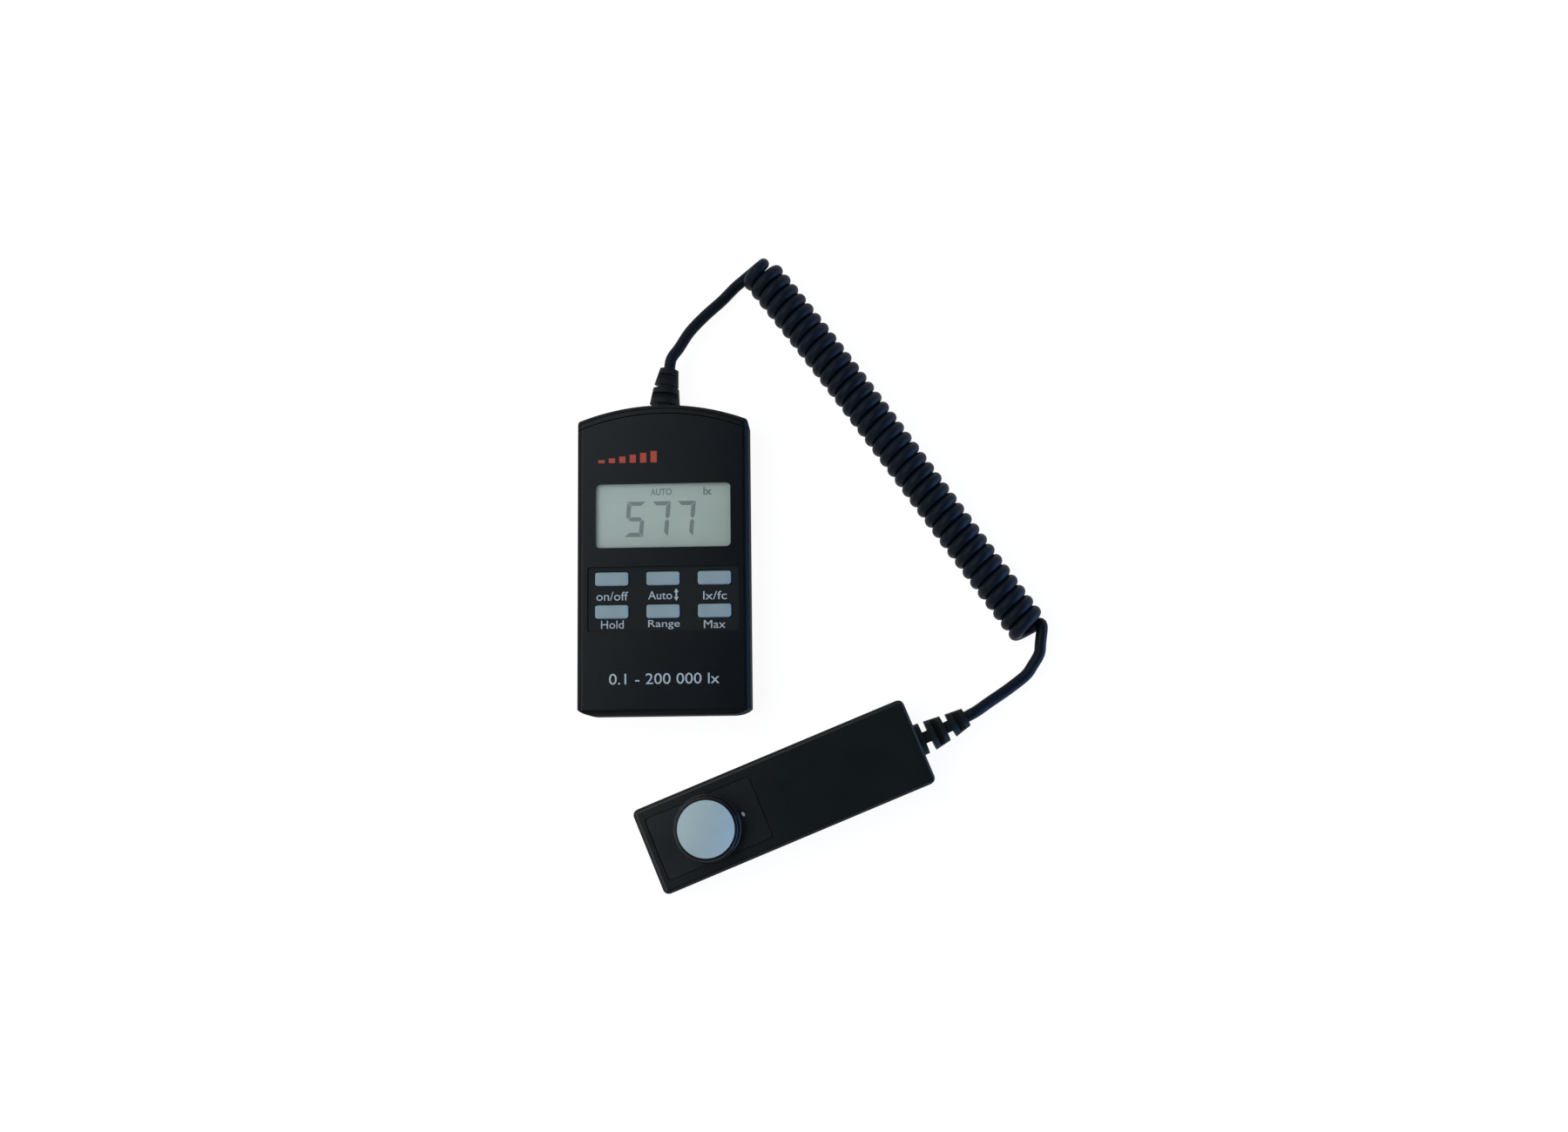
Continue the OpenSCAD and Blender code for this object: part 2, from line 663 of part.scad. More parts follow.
module rear_shell() {
    tongue_half = cover_w / 2 + cover_tongue_w;
    top_z = cover_sink + cover_t;
    color(case_colour) difference() {
        union() {
            difference() {
                intersection() {
                    case_form();
                    inside_arc(cap_depth + seam_gap);
                    below(parting_z - parting_gap / 2);
                }
                case_form(case_wall);
            }
            at_case_screws() post(boss_r, back_in_z - weld, board_z);
            // walls of the battery bay
            translate([-bay_half_l - bay_wall, bay_top_y, back_in_z - weld])
                cube([2 * (bay_half_l + bay_wall), bay_wall, face_in_z - back_in_z + weld - cell_gap]);
            for (s = [-1, 1]) translate([s * (bay_half_l + bay_wall / 2), (bay_low_y + bay_wall_y) / 2, 0])
                translate([-bay_wall / 2, -(bay_wall_y - bay_low_y) / 2, back_in_z - weld])
                    cube([bay_wall, bay_wall_y - bay_low_y, face_in_z - back_in_z + weld - cell_gap]);
        }
        at_case_screws() post(screw_head_r + screw_gap, -overrun, screw_seat_z);
        at_case_screws() post(screw_r + screw_gap, 0, board_z + overrun);
        // opening of the cover, and the grooves of its tongues
        translate([-cover_w / 2 - cover_gap, low_y - overrun, -overrun])
            cube([cover_w + 2 * cover_gap, bay_top_y - low_y + overrun,
                overrun + top_z + cover_gap]);
        translate([-tongue_half - cover_gap, low_y - overrun, top_z - cover_tongue_t - cover_gap])
            cube([2 * (tongue_half + cover_gap), bay_top_y - low_y + overrun,
                cover_tongue_t + 2 * cover_gap]);
    }
}

module top_cap() {
    color(case_colour) difference() {
        union() {
            difference() {
                case_form();
                inside_arc(cap_depth);
            }
            // tongue inside the shells
            difference() {
                intersection() {
                    case_form(cap_fit);
                    inside_arc(cap_depth - weld);
                }
                case_form(cap_fit + tongue_t);
                inside_arc(cap_depth + tongue_l);
            }
        }
        translate(meter_relief_root) rotate([-90, 0, 0]) {
            cylinder(r = flange_r + relief_gap, h = far);
            translate([0, 0, -cap_inner]) cylinder(r = neck_r + relief_gap, h = far);
        }
    }
}

module lcd_window() {
    color(glass_colour, 0.4) translate([0, window_y, pane_z]) linear_extrude(pane_t)
        round_rect(window_w + 2 * (pane_lap - optic_gap), window_l + 2 * (pane_lap - optic_gap), window_r);
}

module lcd_panel() {
    color(lcd_colour) translate([0, window_y, lcd_z]) linear_extrude(lcd_t)
        round_rect(window_w + 2 * lcd_lap, window_l + 2 * lcd_lap, least_r);
}

module lcd_connectors() {
    offset_y = window_l / 2 + lcd_lap - connector_w;
    color(rubber_colour) for (s = [-1, 1])
        translate([-window_w / 2, window_y + s * offset_y - connector_w / 2, board_top_z])
            cube([window_w, connector_w, lcd_z - board_top_z]);
}

module keypad_plate() {
    color(case_colour) difference() {
        translate([0, recess_y, pocket_z]) linear_extrude(inlay_t)
            round_rect(recess_w - 2 * optic_gap, recess_l - 2 * optic_gap, key_r);
        at_keys() translate([0, 0, pocket_z - overrun])
            linear_extrude(case_h) round_rect(key_w + 2 * key_gap, key_l + 2 * key_gap, key_r + key_gap);
    }
}

module keycap(i) {
    place = key_places[i - 1];
    color(key_colour) translate([place.x, place.y, 0]) {
        soft_block(key_w, key_l, rim_top_z - weld, key_top_z, key_r, least_r / 2, key_edge_r);
        translate([0, 0, rim_z]) linear_extrude(rim_top_z - rim_z)
            round_rect(key_w + 2 * key_rim, key_l + 2 * key_rim, key_r);
        post(plunger_r, plunger_top_z, rim_z + weld);
    }
}

module plunger(i) {
    place = key_places[i - 1];
    color(rubber_colour) translate([place.x, place.y, 0])
        post(plunger_r, plunger_low_z, plunger_top_z);
}

module key_switches() {
    color(chip_colour) at_keys() difference() {
        translate([-switch_w / 2, -switch_w / 2, board_top_z]) cube([switch_w, switch_w, switch_h]);
        post(plunger_r + plunger_gap, board_top_z + switch_floor, case_h);
    }
}

module main_board() {
    color(board_colour) difference() {
        translate([0, (board_top + board_low_y) / 2, board_z]) linear_extrude(board_t)
            round_rect(board_w, board_top - board_low_y, board_r);
        at_case_screws() post(screw_r + 2 * screw_gap, 0, case_h);
    }
}

module board_chips() {
    // each chip: its place from the window's middle as shares of the window, and its size as shares of chip_w
    chips = [
        [[-0.25, 0], [1, 1]],
        [[0.18, 0.12], [0.75, 0.5]],
        [[0.2, -0.2], [0.4, 0.35]],
        [[-0.32, 0.96], [0.5, 0.35]],
    ];
    color(chip_colour) for (chip = chips) {
        size = chip_w * chip[1];
        place = [chip[0].x * window_w, window_y + chip[0].y * window_l];
        translate([place.x - size.x / 2, place.y - size.y / 2, board_top_z]) cube([size.x, size.y, chip_h]);
    }
}

module wire_header() {
    color(white_colour) translate([-header_w / 2, board_top - header_l, board_top_z])
        cube([header_w, header_l, header_h]);
}

module cord_wires() {
    color(metal_colour) for (i = [-1, 0, 1]) translate([i * wire_pitch, board_top, wire_z])
        rotate([-90, 0, 0]) cylinder(r = wire_r, h = meter_collar_y - collar_t - board_top);
}

module battery_cell() {
    body_l = cell_l - button_h;
    color(cell_colour) translate([-cell_l / 2, cell_y, cell_z]) rotate([0, 90, 0]) {
        cylinder(d = cell_d, h = body_l);
        cylinder(r = button_r, h = cell_l);
    }
}

// Contact sheet against the bay's end wall, with a pad that bears on the cell's end
module contact(side, pad_r) {
    color(metal_colour) translate([side * bay_half_l, cell_y, cell_z]) rotate([0, -side * 90, 0]) {
        translate([-contact_w / 2, -contact_w / 2, 0]) cube([contact_w, contact_w, contact_t]);
        cylinder(r1 = pad_r + contact_t, r2 = pad_r, h = contact_space);
    }
}

module contact_plus() {
    contact(1, plus_pad_r);
}

module contact_minus() {
    contact(-1, minus_pad_r);
}

module battery_cover() {
    tongue_half = cover_w / 2 + cover_tongue_w;
    top_z = cover_sink + cover_t;
    color(case_colour) difference() {
        intersection() {
            case_form(cover_sink);
            union() {
                translate([-cover_w / 2, low_y, 0]) cube([cover_w, cover_top_y - low_y, top_z]);
                translate([-tongue_half, low_y, top_z - cover_tongue_t])
                    cube([2 * tongue_half, cover_top_y - low_y, cover_tongue_t]);
            }
        }
        // grooves between the grip ridges
        for (i = [0:grip_count - 1]) translate([-grip_w / 2, cover_top_y - grip_end - i * grip_pitch, 0])
            cube([grip_w, grip_pitch / 2, cover_sink + grip_depth]);
    }
}

// Screw with a domed head that bears upward from its recess
module screw(seat_z, end_z) {
    post(screw_r, seat_z - weld, end_z);
    intersection() {
        post(screw_head_r, seat_z - screw_head_h, seat_z);
        translate([0, 0, seat_z - screw_head_h + screw_dome_r]) sphere(screw_dome_r);
    }
}

module case_screws() {
    color(metal_colour) at_case_screws() screw(screw_seat_z, screw_end_z);
}

// Ring pair of a strain relief along +Y: a cone with a slot across its front and its back
module ring_pair(length, r1, r2) {
    difference() {
        rotate([-90, 0, 0]) cylinder(r1 = r1, r2 = r2, h = length);
        for (s = [-1, 1]) translate([-far, (length - slot_w) / 2, s > 0 ? web_t / 2 : -far - web_t / 2])
            cube([2 * far, slot_w, far]);
    }
}

// Web of a strain relief across a slot of some width that starts at the origin, open at both sides
module slot_web(r, width) {
    translate([-web_t / 2, -weld, -r]) cube([web_t, width + 2 * weld, 2 * r]);
}

// What comes after a slot of some width: it is bent to the right about a hinge at r to the side
module after_slot(r, web_r, width, bend) {
    slot_web(web_r, width + r * sin(bend));
    translate([r, width, 0]) rotate([0, 0, -bend]) translate([-r, 0, 0]) children();
}

// Slotted strain relief along +Y. Its flange starts at the origin and its neck runs back through a wall.
module strain_relief(neck_l, gap, bend) {
    rotate([-90, 0, 0]) {
        cylinder(r = flange_r, h = flange_t);
        translate([0, 0, -neck_l - weld]) cylinder(r = neck_r, h = neck_l + 2 * weld);
        translate([0, 0, -neck_l - collar_t]) cylinder(r = collar_r, h = collar_t);
    }
    translate([0, flange_t, 0]) after_slot(middle_r1, web_r1, gap, bend) {
        ring_pair(middle_l, middle_r1, middle_r2);
        translate([0, middle_l, 0]) after_slot(tip_r1, web_r2, gap, bend) ring_pair(tip_l, tip_r1, tip_r2);
    }
}

module meter_relief() {
    color(rubber_colour) translate(meter_relief_root)
        strain_relief(meter_relief_root.y - meter_collar_y, shut_slot_w, relief_bend);
}

module probe_relief() {
    color(rubber_colour) at_probe() translate([probe_l / 2, 0, relief_z]) rotate([0, 180, -90])
        strain_relief(probe_wall + relief_gap, open_slot_w, probe_relief_bend);
}

// Ring of points around a place on a cord
function ring(place, dir, across, r, sides) =
    let (e1 = unit(cross(dir, across)), e2 = cross(e1, dir))
    [for (k = [0:sides - 1]) place + r * (e1 * cos(360 * k / sides) + e2 * sin(360 * k / sides))];
function route_dir(route, i) = unit(route[min(i + 1, len(route) - 1)] - route[max(i - 1, 0)]);

// Tube along a route, closed at both ends, with rings that keep one face toward a direction
module tube(route, across, sides) {
    last = len(route) - 1;
    points = [for (i = [0:last]) each ring(route[i], route_dir(route, i), across, cord_d / 2, sides)];
    walls = [for (i = [0:last - 1]) for (k = [0:sides - 1])
        let (a = i * sides + k, b = i * sides + (k + 1) % sides)
        each [[a, b, a + sides], [b, b + sides, a + sides]]];
    ends = [for (k = [1:sides - 2])
        each [[0, k + 1, k], [last * sides, last * sides + k, last * sides + k + 1]]];
    polyhedron(points, concat(walls, ends));
}

module meter_lead() {
    color(rubber_colour) tube(meter_route, [0, 0, 1], lead_sides);
}

module probe_lead() {
    color(rubber_colour) tube(probe_route, [0, 0, 1], lead_sides);
}

module cord_coil() {
    color(rubber_colour) tube(coil_points, coil_axis, curl_sides);
}

module at_probe() {
    translate([probe_x, -probe_drop, 0]) rotate([0, 0, probe_turn]) children();
}
module at_probe_screws() {
    for (place = probe_screw_places) translate([place.x, place.y, 0]) children();
}

// The probe's outer form, moved in by inset on every side
module probe_form(inset = 0) {
    r_edge = max(probe_edge_r - inset, least_r);
    soft_block(probe_l - 2 * inset, probe_w - 2 * inset, inset, probe_h - inset,
        max(probe_corner_r - inset, least_r), r_edge, r_edge);
}

// Round hole of the relief's neck through the probe's end wall
module probe_neck_hole() {
    translate([probe_l / 2 - 2 * probe_wall, 0, relief_z]) rotate([0, 90, 0])
        cylinder(r = neck_r + relief_gap, h = 3 * probe_wall);
}

module probe_upper_shell() {
    color(case_colour) at_probe() difference() {
        union() {
            difference() {
                intersection() {
                    probe_form();
                    above(probe_split_z + parting_gap / 2);
                }
                probe_form(probe_wall);
            }
            at_probe_screws() post(nut_r, probe_split_z + parting_gap / 2, probe_h - probe_wall + weld);
        }
        at_probe_screws() post(screw_r + screw_gap / 2, 0, probe_h - probe_wall - overrun);
        translate([panel_x, 0, probe_h - panel_t]) linear_extrude(probe_h)
            round_rect(panel_l + 2 * panel_seam, panel_w + 2 * panel_seam, probe_corner_r / 2);
        translate([sensor_x, 0, 0]) post(spigot_r + optic_gap, probe_split_z, 2 * probe_h);
        probe_neck_hole();
    }
}

module probe_lower_shell() {
    board_half = probe_board_w / 2;
    color(case_colour) at_probe() difference() {
        union() {
            difference() {
                intersection() {
                    probe_form();
                    below(probe_split_z - parting_gap / 2);
                }
                probe_form(probe_wall);
            }
            at_probe_screws() post(boss_r, probe_wall - weld, probe_split_z - parting_gap / 2);
            // ribs under the board
            for (x = [probe_rib_end, probe_board_l - probe_rib_end])
                translate([probe_board_x + x - bay_wall / 2, -board_half, probe_wall - weld])
                    cube([bay_wall, probe_board_w, probe_board_z - probe_wall + weld]);
        }
        at_probe_screws() post(screw_head_r + screw_gap, -overrun, screw_seat_z);
        at_probe_screws() post(screw_r + screw_gap, 0, probe_h);
        probe_neck_hole();
    }
}

module sensor_panel() {
    color(case_colour) at_probe() difference() {
        translate([panel_x, 0, probe_h - panel_t]) linear_extrude(panel_t)
            round_rect(panel_l, panel_w, probe_corner_r / 2);
        translate([sensor_x, 0, 0]) post(spigot_r + optic_gap, 0, 2 * probe_h);
    }
}

// Turret: a round holder whose foot stands on the probe's face, with a spigot through it
module sensor_turret() {
    bore_r = diffuser_r + optic_gap;
    rim_z = probe_h + turret_h;
    side_z = rim_z - turret_edge_r;
    foot_r = turret_r + turret_draft;
    fillet_r = foot_r + turret_fillet;
    color(case_colour) at_probe() translate([sensor_x, 0, 0]) rotate_extrude() difference() {
        union() {
            polygon([[0, probe_h], [foot_r, probe_h], [turret_r, side_z], [0, side_z]]);
            translate([turret_r - turret_edge_r, side_z]) circle(turret_edge_r);
            translate([0, side_z - weld]) square([turret_r - turret_edge_r, turret_edge_r + weld]);
            translate([0, spigot_z]) square([spigot_r, probe_h - spigot_z + weld]);
            difference() {
                translate([0, probe_h]) square([fillet_r, turret_fillet]);
                translate([fillet_r, probe_h + turret_fillet]) circle(turret_fillet);
            }
        }
        translate([0, diffuser_z]) square([bore_r, far]);
        translate([0, filter_z]) square([filter_r + optic_gap, far]);
        square([filter_r - filter_ledge, far]);
    }
}

module diffuser() {
    crown_r = (pow(diffuser_r, 2) + pow(crown_h, 2)) / (2 * crown_h);
    side_z = diffuser_z + diffuser_h;
    color(white_colour) at_probe() translate([sensor_x, 0, 0]) rotate_extrude() intersection() {
        translate([0, diffuser_z]) square([diffuser_r, diffuser_h + crown_h]);
        translate([0, side_z + crown_h - crown_r]) circle(crown_r, $fn = 180);
    }
}

module filter_glass() {
    color(filter_colour) at_probe() translate([sensor_x, 0, 0]) post(filter_r, filter_z, filter_z + filter_t);
}

module photodiode() {
    color(metal_colour) at_probe() translate([sensor_x, 0, 0]) {
        post(diode_r, diode_top_z - diode_h, diode_top_z - diode_h + diode_base);
        post(can_r, diode_top_z - diode_h, diode_top_z);
    }
}

module probe_board() {
    color(board_colour) at_probe()
        translate([probe_board_x + probe_board_l / 2, 0, probe_board_z]) linear_extrude(probe_board_t)
            round_rect(probe_board_l, probe_board_w, board_r);
}

module probe_wires() {
    collar_x = probe_l / 2 - probe_wall - relief_gap - collar_t;
    wire_start = probe_board_x + probe_board_l - wire_lap;
    color(metal_colour) at_probe() for (i = [-1, 0, 1])
        translate([wire_start, i * wire_pitch, probe_board_z + probe_board_t + wire_r + optic_gap / 2])
            rotate([0, 90, 0]) cylinder(r = wire_r, h = collar_x - wire_start);
}

module probe_screws() {
    color(metal_colour) at_probe() at_probe_screws() screw(screw_seat_z, probe_split_z + thread_l);
}

front_shell();
rear_shell();
top_cap();
lcd_window();
lcd_panel();
lcd_connectors();
keypad_plate();
key_switches();
main_board();
board_chips();
wire_header();
cord_wires();
battery_cell();
contact_plus();
contact_minus();
battery_cover();
case_screws();
meter_relief();
meter_lead();
cord_coil();
probe_lead();
probe_relief();
probe_upper_shell();
probe_lower_shell();
sensor_panel();
sensor_turret();
diffuser();
filter_glass();
photodiode();
probe_board();
probe_wires();
probe_screws();
for (i = [1:key_count]) keycap(i);
for (i = [1:key_count]) plunger(i);
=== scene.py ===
"""Finishes, markings, cord, floor, light and camera of the lux meter, in metres in the part's own frame."""
import math
import bmesh
import bpy
from mathutils import Matrix, Quaternion, Vector


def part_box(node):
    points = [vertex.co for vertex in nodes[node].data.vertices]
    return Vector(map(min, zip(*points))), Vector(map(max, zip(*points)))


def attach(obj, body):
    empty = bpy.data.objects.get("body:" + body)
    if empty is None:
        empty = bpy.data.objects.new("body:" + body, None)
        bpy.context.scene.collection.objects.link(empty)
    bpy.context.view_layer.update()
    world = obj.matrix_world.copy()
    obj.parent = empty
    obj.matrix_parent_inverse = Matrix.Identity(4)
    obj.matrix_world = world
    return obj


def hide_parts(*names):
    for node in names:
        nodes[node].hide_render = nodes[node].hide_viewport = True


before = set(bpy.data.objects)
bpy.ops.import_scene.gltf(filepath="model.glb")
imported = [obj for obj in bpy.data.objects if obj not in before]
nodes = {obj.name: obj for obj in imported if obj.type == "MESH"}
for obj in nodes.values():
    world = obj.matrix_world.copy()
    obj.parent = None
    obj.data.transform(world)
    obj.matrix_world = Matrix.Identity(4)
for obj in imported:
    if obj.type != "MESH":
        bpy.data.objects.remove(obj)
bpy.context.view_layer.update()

# Camera: where the photo was taken from, found from the corners of the case and of the probe
CAMERA_AT = Vector((0.06988, -0.08829, 0.69483))
CAMERA_TARGET = Vector((0.0453, -0.00153, 0))
CAMERA_ROLL = -0.0116
IMAGE_W = 1800
FOCAL_PIXELS = 2068.5
SENSOR_W = 36
CLIP_START = 0.01
CLIP_END = 100

# Cord: its route, as in the part's source. Its curls are a little fuller here, so that they touch.
CORD_D = 0.0044
CURL_D = 0.00495
CURL_R = 0.0055
CURL_PITCH = 0.0049
CURL_COUNT = 36
CURL_POINTS = 16
COIL_BOW = 0.0011
COIL_START = Vector((0.0358, 0.1156, CURL_R + CURL_D / 2))
COIL_TURN = math.radians(-54.4)
COIL_AXIS = Vector((math.cos(COIL_TURN), math.sin(COIL_TURN), 0))
COIL_SIDE = Vector((-math.sin(COIL_TURN), math.cos(COIL_TURN), 0))
COIL_ENTRY = Vector((0.0341, 0.1152, CORD_D / 2))
COIL_ENTRY_TURN = math.radians(40)
COIL_ENTRY_DIR = Vector((math.cos(COIL_ENTRY_TURN), math.sin(COIL_ENTRY_TURN), 0))
COIL_ENTRY_PULL = 0.0052
COIL_ENTRY_STEPS = 8
CURLS_FROM = 180
CURLS_TO = CURL_COUNT * 360 + 45
COIL_EXIT = Vector((0.143, -0.0332, 0.007))
COIL_EXIT_TURN = math.radians(-98)
COIL_EXIT_DIR = Vector((math.cos(COIL_EXIT_TURN), math.sin(COIL_EXIT_TURN), 0))
COIL_EXIT_PULL = 0.0025
COIL_EXIT_STEPS = 5
METER_RELIEF_END = Vector((0.001841, 0.074998, 0.0095))
METER_LEAD_TURN = math.radians(80)
METER_LEAD_DIR = Vector((math.cos(METER_LEAD_TURN), math.sin(METER_LEAD_TURN), 0))
METER_LEAD_POINTS = [
    (0.0055, 0.0836, 0.0089), (0.0097, 0.0904, 0.0078), (0.0154, 0.097, 0.006), (0.0223, 0.1038, 0.004),
]
PROBE_RELIEF_END = Vector((0.11378, -0.061417, 0.0095))
PROBE_LEAD_TURN = math.radians(28)
PROBE_LEAD_DIR = Vector((math.cos(PROBE_LEAD_TURN), math.sin(PROBE_LEAD_TURN), 0))
PROBE_LEAD_POINTS = [
    (0.14, -0.0417, 0.0062), (0.1376, -0.0452, 0.0058), (0.1336, -0.0485, 0.0058), (0.1284, -0.0522, 0.0064),
    (0.1226, -0.056, 0.0078),
]

# Fineness of the cord's tube, around it and along it between two points
CORD_ROUND_STEPS = 6
CORD_LONG_STEPS = 4

# Levels of the printed and displayed marks
FACE_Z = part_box("front_shell")[1].z
INLAY_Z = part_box("keypad_plate")[1].z
DISPLAY_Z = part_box("lcd_panel")[1].z
NAME_FIELD_DEPTH = 0.00025
NAME_FIELD_Z = FACE_Z - NAME_FIELD_DEPTH
PRINT_T = 0.00003


def make_camera():
    """Camera at the photo's place, looking at its target."""
    data = bpy.data.cameras.new("camera")
    data.sensor_fit = "HORIZONTAL"
    data.sensor_width = SENSOR_W
    data.lens = FOCAL_PIXELS * SENSOR_W / IMAGE_W
    data.clip_start = CLIP_START
    data.clip_end = CLIP_END
    camera = bpy.data.objects.new("camera", data)
    back = (CAMERA_AT - CAMERA_TARGET).normalized()
    right = Vector((0, 1, 0)).cross(back).normalized()
    turn = Matrix.Rotation(CAMERA_ROLL, 3, back)
    axes = Matrix((turn @ right, turn @ back.cross(right), back)).transposed()
    camera.matrix_world = Matrix.Translation(CAMERA_AT) @ axes.to_4x4()
    bpy.context.scene.collection.objects.link(camera)
    bpy.context.scene.camera = camera


def curl_point(turn):
    """Middle of the cord at an angle along the curls, in degrees.

    The coil's axis bows to its side by COIL_BOW, most of all a third of the way along.
    """
    a = math.radians(turn)
    out = COIL_SIDE * math.sin(a) - Vector((0, 0, math.cos(a)))
    t = turn / (CURL_COUNT * 360)
    bow = COIL_BOW * 27 / 4 * t * (1 - t) ** 2
    return COIL_START + COIL_AXIS * CURL_PITCH * turn / 360 + COIL_SIDE * bow + CURL_R * out


def curl_dir(turn):
    """Direction of the cord at an angle along the curls, in degrees."""
    a = math.radians(turn)
    round_the_axis = CURL_R * (COIL_SIDE * math.cos(a) + Vector((0, 0, math.sin(a))))
    return (COIL_AXIS * CURL_PITCH / (2 * math.pi) + round_the_axis).normalized()


def bezier(a, b, c, d, t):
    """Point of a cubic curve from a to d with the handles b and c, at a share t of its run."""
    s = 1 - t
    return s ** 3 * a + 3 * s * s * t * b + 3 * s * t * t * c + t ** 3 * d


def bend(start, start_dir, end, end_dir, pull, count):
    """Points of a bend between two places, without its two ends."""
    leave = start + pull * start_dir
    arrive = end - pull * end_dir
    return [bezier(start, leave, arrive, end, i / count) for i in range(1, count)]


def cord_route():
    """Middle points of the cord from the meter's strain relief to the probe's, each with its diameter."""
    top = curl_point(CURLS_FROM)
    last = curl_point(CURLS_TO)
    bend_end = COIL_EXIT - CORD_D * COIL_EXIT_DIR
    steps = round((CURLS_TO - CURLS_FROM) * CURL_POINTS / 360)
    lead_in = [METER_RELIEF_END, METER_RELIEF_END + CORD_D * METER_LEAD_DIR]
    lead_in += [Vector(p) for p in METER_LEAD_POINTS]
    lead_in += [COIL_ENTRY - s * CORD_D * COIL_ENTRY_DIR for s in (2, 1, 0)]
    lead_in += bend(COIL_ENTRY, COIL_ENTRY_DIR, top, curl_dir(CURLS_FROM), COIL_ENTRY_PULL, COIL_ENTRY_STEPS)
    curls = [curl_point(CURLS_FROM + i * 360 / CURL_POINTS) for i in range(steps + 1)]
    lead_out = bend(last, curl_dir(CURLS_TO), bend_end, COIL_EXIT_DIR, COIL_EXIT_PULL, COIL_EXIT_STEPS)
    lead_out += [bend_end, COIL_EXIT, COIL_EXIT + CORD_D * COIL_EXIT_DIR]
    lead_out += [Vector(p) for p in PROBE_LEAD_POINTS]
    lead_out += [PROBE_RELIEF_END + CORD_D * PROBE_LEAD_DIR, PROBE_RELIEF_END]
    return [(p, CORD_D) for p in lead_in] + [(p, CURL_D) for p in curls] + [(p, CORD_D) for p in lead_out]


def make_cord():
    """The cord as one tube, as thick as each point of its route says. It stands for the three solids."""
    route = cord_route()
    places = [place for place, diameter in route]
    data = bpy.data.curves.new("curly_cord", "CURVE")
    data.dimensions = "3D"
    data.bevel_depth = 1
    data.bevel_resolution = CORD_ROUND_STEPS
    data.use_fill_caps = True
    data.resolution_u = CORD_LONG_STEPS
    spline = data.splines.new("BEZIER")
    spline.bezier_points.add(len(route) - 1)
    for i, point in enumerate(spline.bezier_points):
        before = places[max(i - 1, 0)]
        after = places[min(i + 1, len(route) - 1)]
        along = (after - before).normalized()
        point.co = places[i]
        point.handle_left = places[i] - along * (places[i] - before).length / 3
        point.handle_right = places[i] + along * (after - places[i]).length / 3
        point.radius = route[i][1] / 2
    cord = bpy.data.objects.new("curly_cord", data)
    bpy.context.scene.collection.objects.link(cord)
    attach(cord, "meter")
    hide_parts("meter_lead", "cord_coil", "probe_lead")
    return cord


make_camera()
cord = make_cord()


def new_material(name, roughness, specular):
    """Material with one Principled shader, its nodes and a coordinate in metres."""
    material = bpy.data.materials.new(name)
    material.use_nodes = True
    tree = material.node_tree
    shader = tree.nodes["Principled BSDF"]
    shader.inputs["Roughness"].default_value = roughness
    shader.inputs["Specular IOR Level"].default_value = specular
    place = tree.nodes.new("ShaderNodeTexCoord").outputs["Object"]
    return material, tree, shader, place


def add_noise(tree, place, size, detail=2.0):
    """Noise whose blobs are about size metres across."""
    noise = tree.nodes.new("ShaderNodeTexNoise")
    noise.inputs["Scale"].default_value = 1 / size
    noise.inputs["Detail"].default_value = detail
    tree.links.new(place, noise.inputs["Vector"])
    return noise.outputs["Fac"]


def add_ramp(tree, value, low, high, start=0.35, end=0.65):
    """Colour that runs from low to high as the value goes from start to end."""
    ramp = tree.nodes.new("ShaderNodeValToRGB")
    ramp.color_ramp.elements[0].position = start
    ramp.color_ramp.elements[0].color = (*low, 1)
    ramp.color_ramp.elements[1].position = end
    ramp.color_ramp.elements[1].color = (*high, 1)
    tree.links.new(value, ramp.inputs["Fac"])
    return ramp.outputs["Color"]


def add_range(tree, value, low, high, start=0.3, end=0.7):
    """Number that runs from low to high as the value goes from start to end."""
    change = tree.nodes.new("ShaderNodeMapRange")
    change.inputs["From Min"].default_value = start
    change.inputs["From Max"].default_value = end
    change.inputs["To Min"].default_value = low
    change.inputs["To Max"].default_value = high
    tree.links.new(value, change.inputs["Value"])
    return change.outputs["Result"]


def add_bump(tree, shader, height, depth, strength):
    """Bump of some depth in metres on the shader's normal."""
    bump = tree.nodes.new("ShaderNodeBump")
    bump.inputs["Distance"].default_value = depth
    bump.inputs["Strength"].default_value = strength
    tree.links.new(height, bump.inputs["Height"])
    tree.links.new(bump.outputs["Normal"], shader.inputs["Normal"])


def moulded(name, low, high, rough, specular, patch, grain, depth, strength=0.3):
    """Moulded surface: colour and roughness vary in soft patches, and a fine grain gives the bump.

    The patches and the grain are given by their size and the bump by its depth, in metres.
    """
    material, tree, shader, place = new_material(name, sum(rough) / 2, specular)
    patches = add_noise(tree, place, patch, detail=4)
    tree.links.new(add_ramp(tree, patches, low, high), shader.inputs["Base Color"])
    fine = add_noise(tree, place, grain)
    tree.links.new(add_range(tree, patches, *rough), shader.inputs["Roughness"])
    add_bump(tree, shader, fine, depth, strength)
    return material


# Edge wear and painted edge highlight: rays that look for edges, how far normals agree where it is full
# and where it is none, size and detail of its patches, and its least and greatest strength
WEAR_HIGHLIGHT_RAYS = 4
WEAR_HIGHLIGHT_FULL = 0.8
WEAR_HIGHLIGHT_NONE = 0.98
WEAR_HIGHLIGHT_PATCH = 0.004
WEAR_HIGHLIGHT_DETAIL = 3
WEAR_HIGHLIGHT_STRENGTH = (0.15, 0.8)
# Sockets of a Mix node that mixes colours
MIX_FIRST = 6
MIX_SECOND = 7
MIX_RESULT = 2
# Case: roughness of its sides beyond that of its face, the upward share of the normal on a side and on the
# face, and the radius of its edge wear and painted edge highlight
SIDE_ROUGHNESS = 0.6
SIDE_UP = 0.5
FACE_UP = 0.95
CASE_WEAR_HIGHLIGHT_R = 0.0005


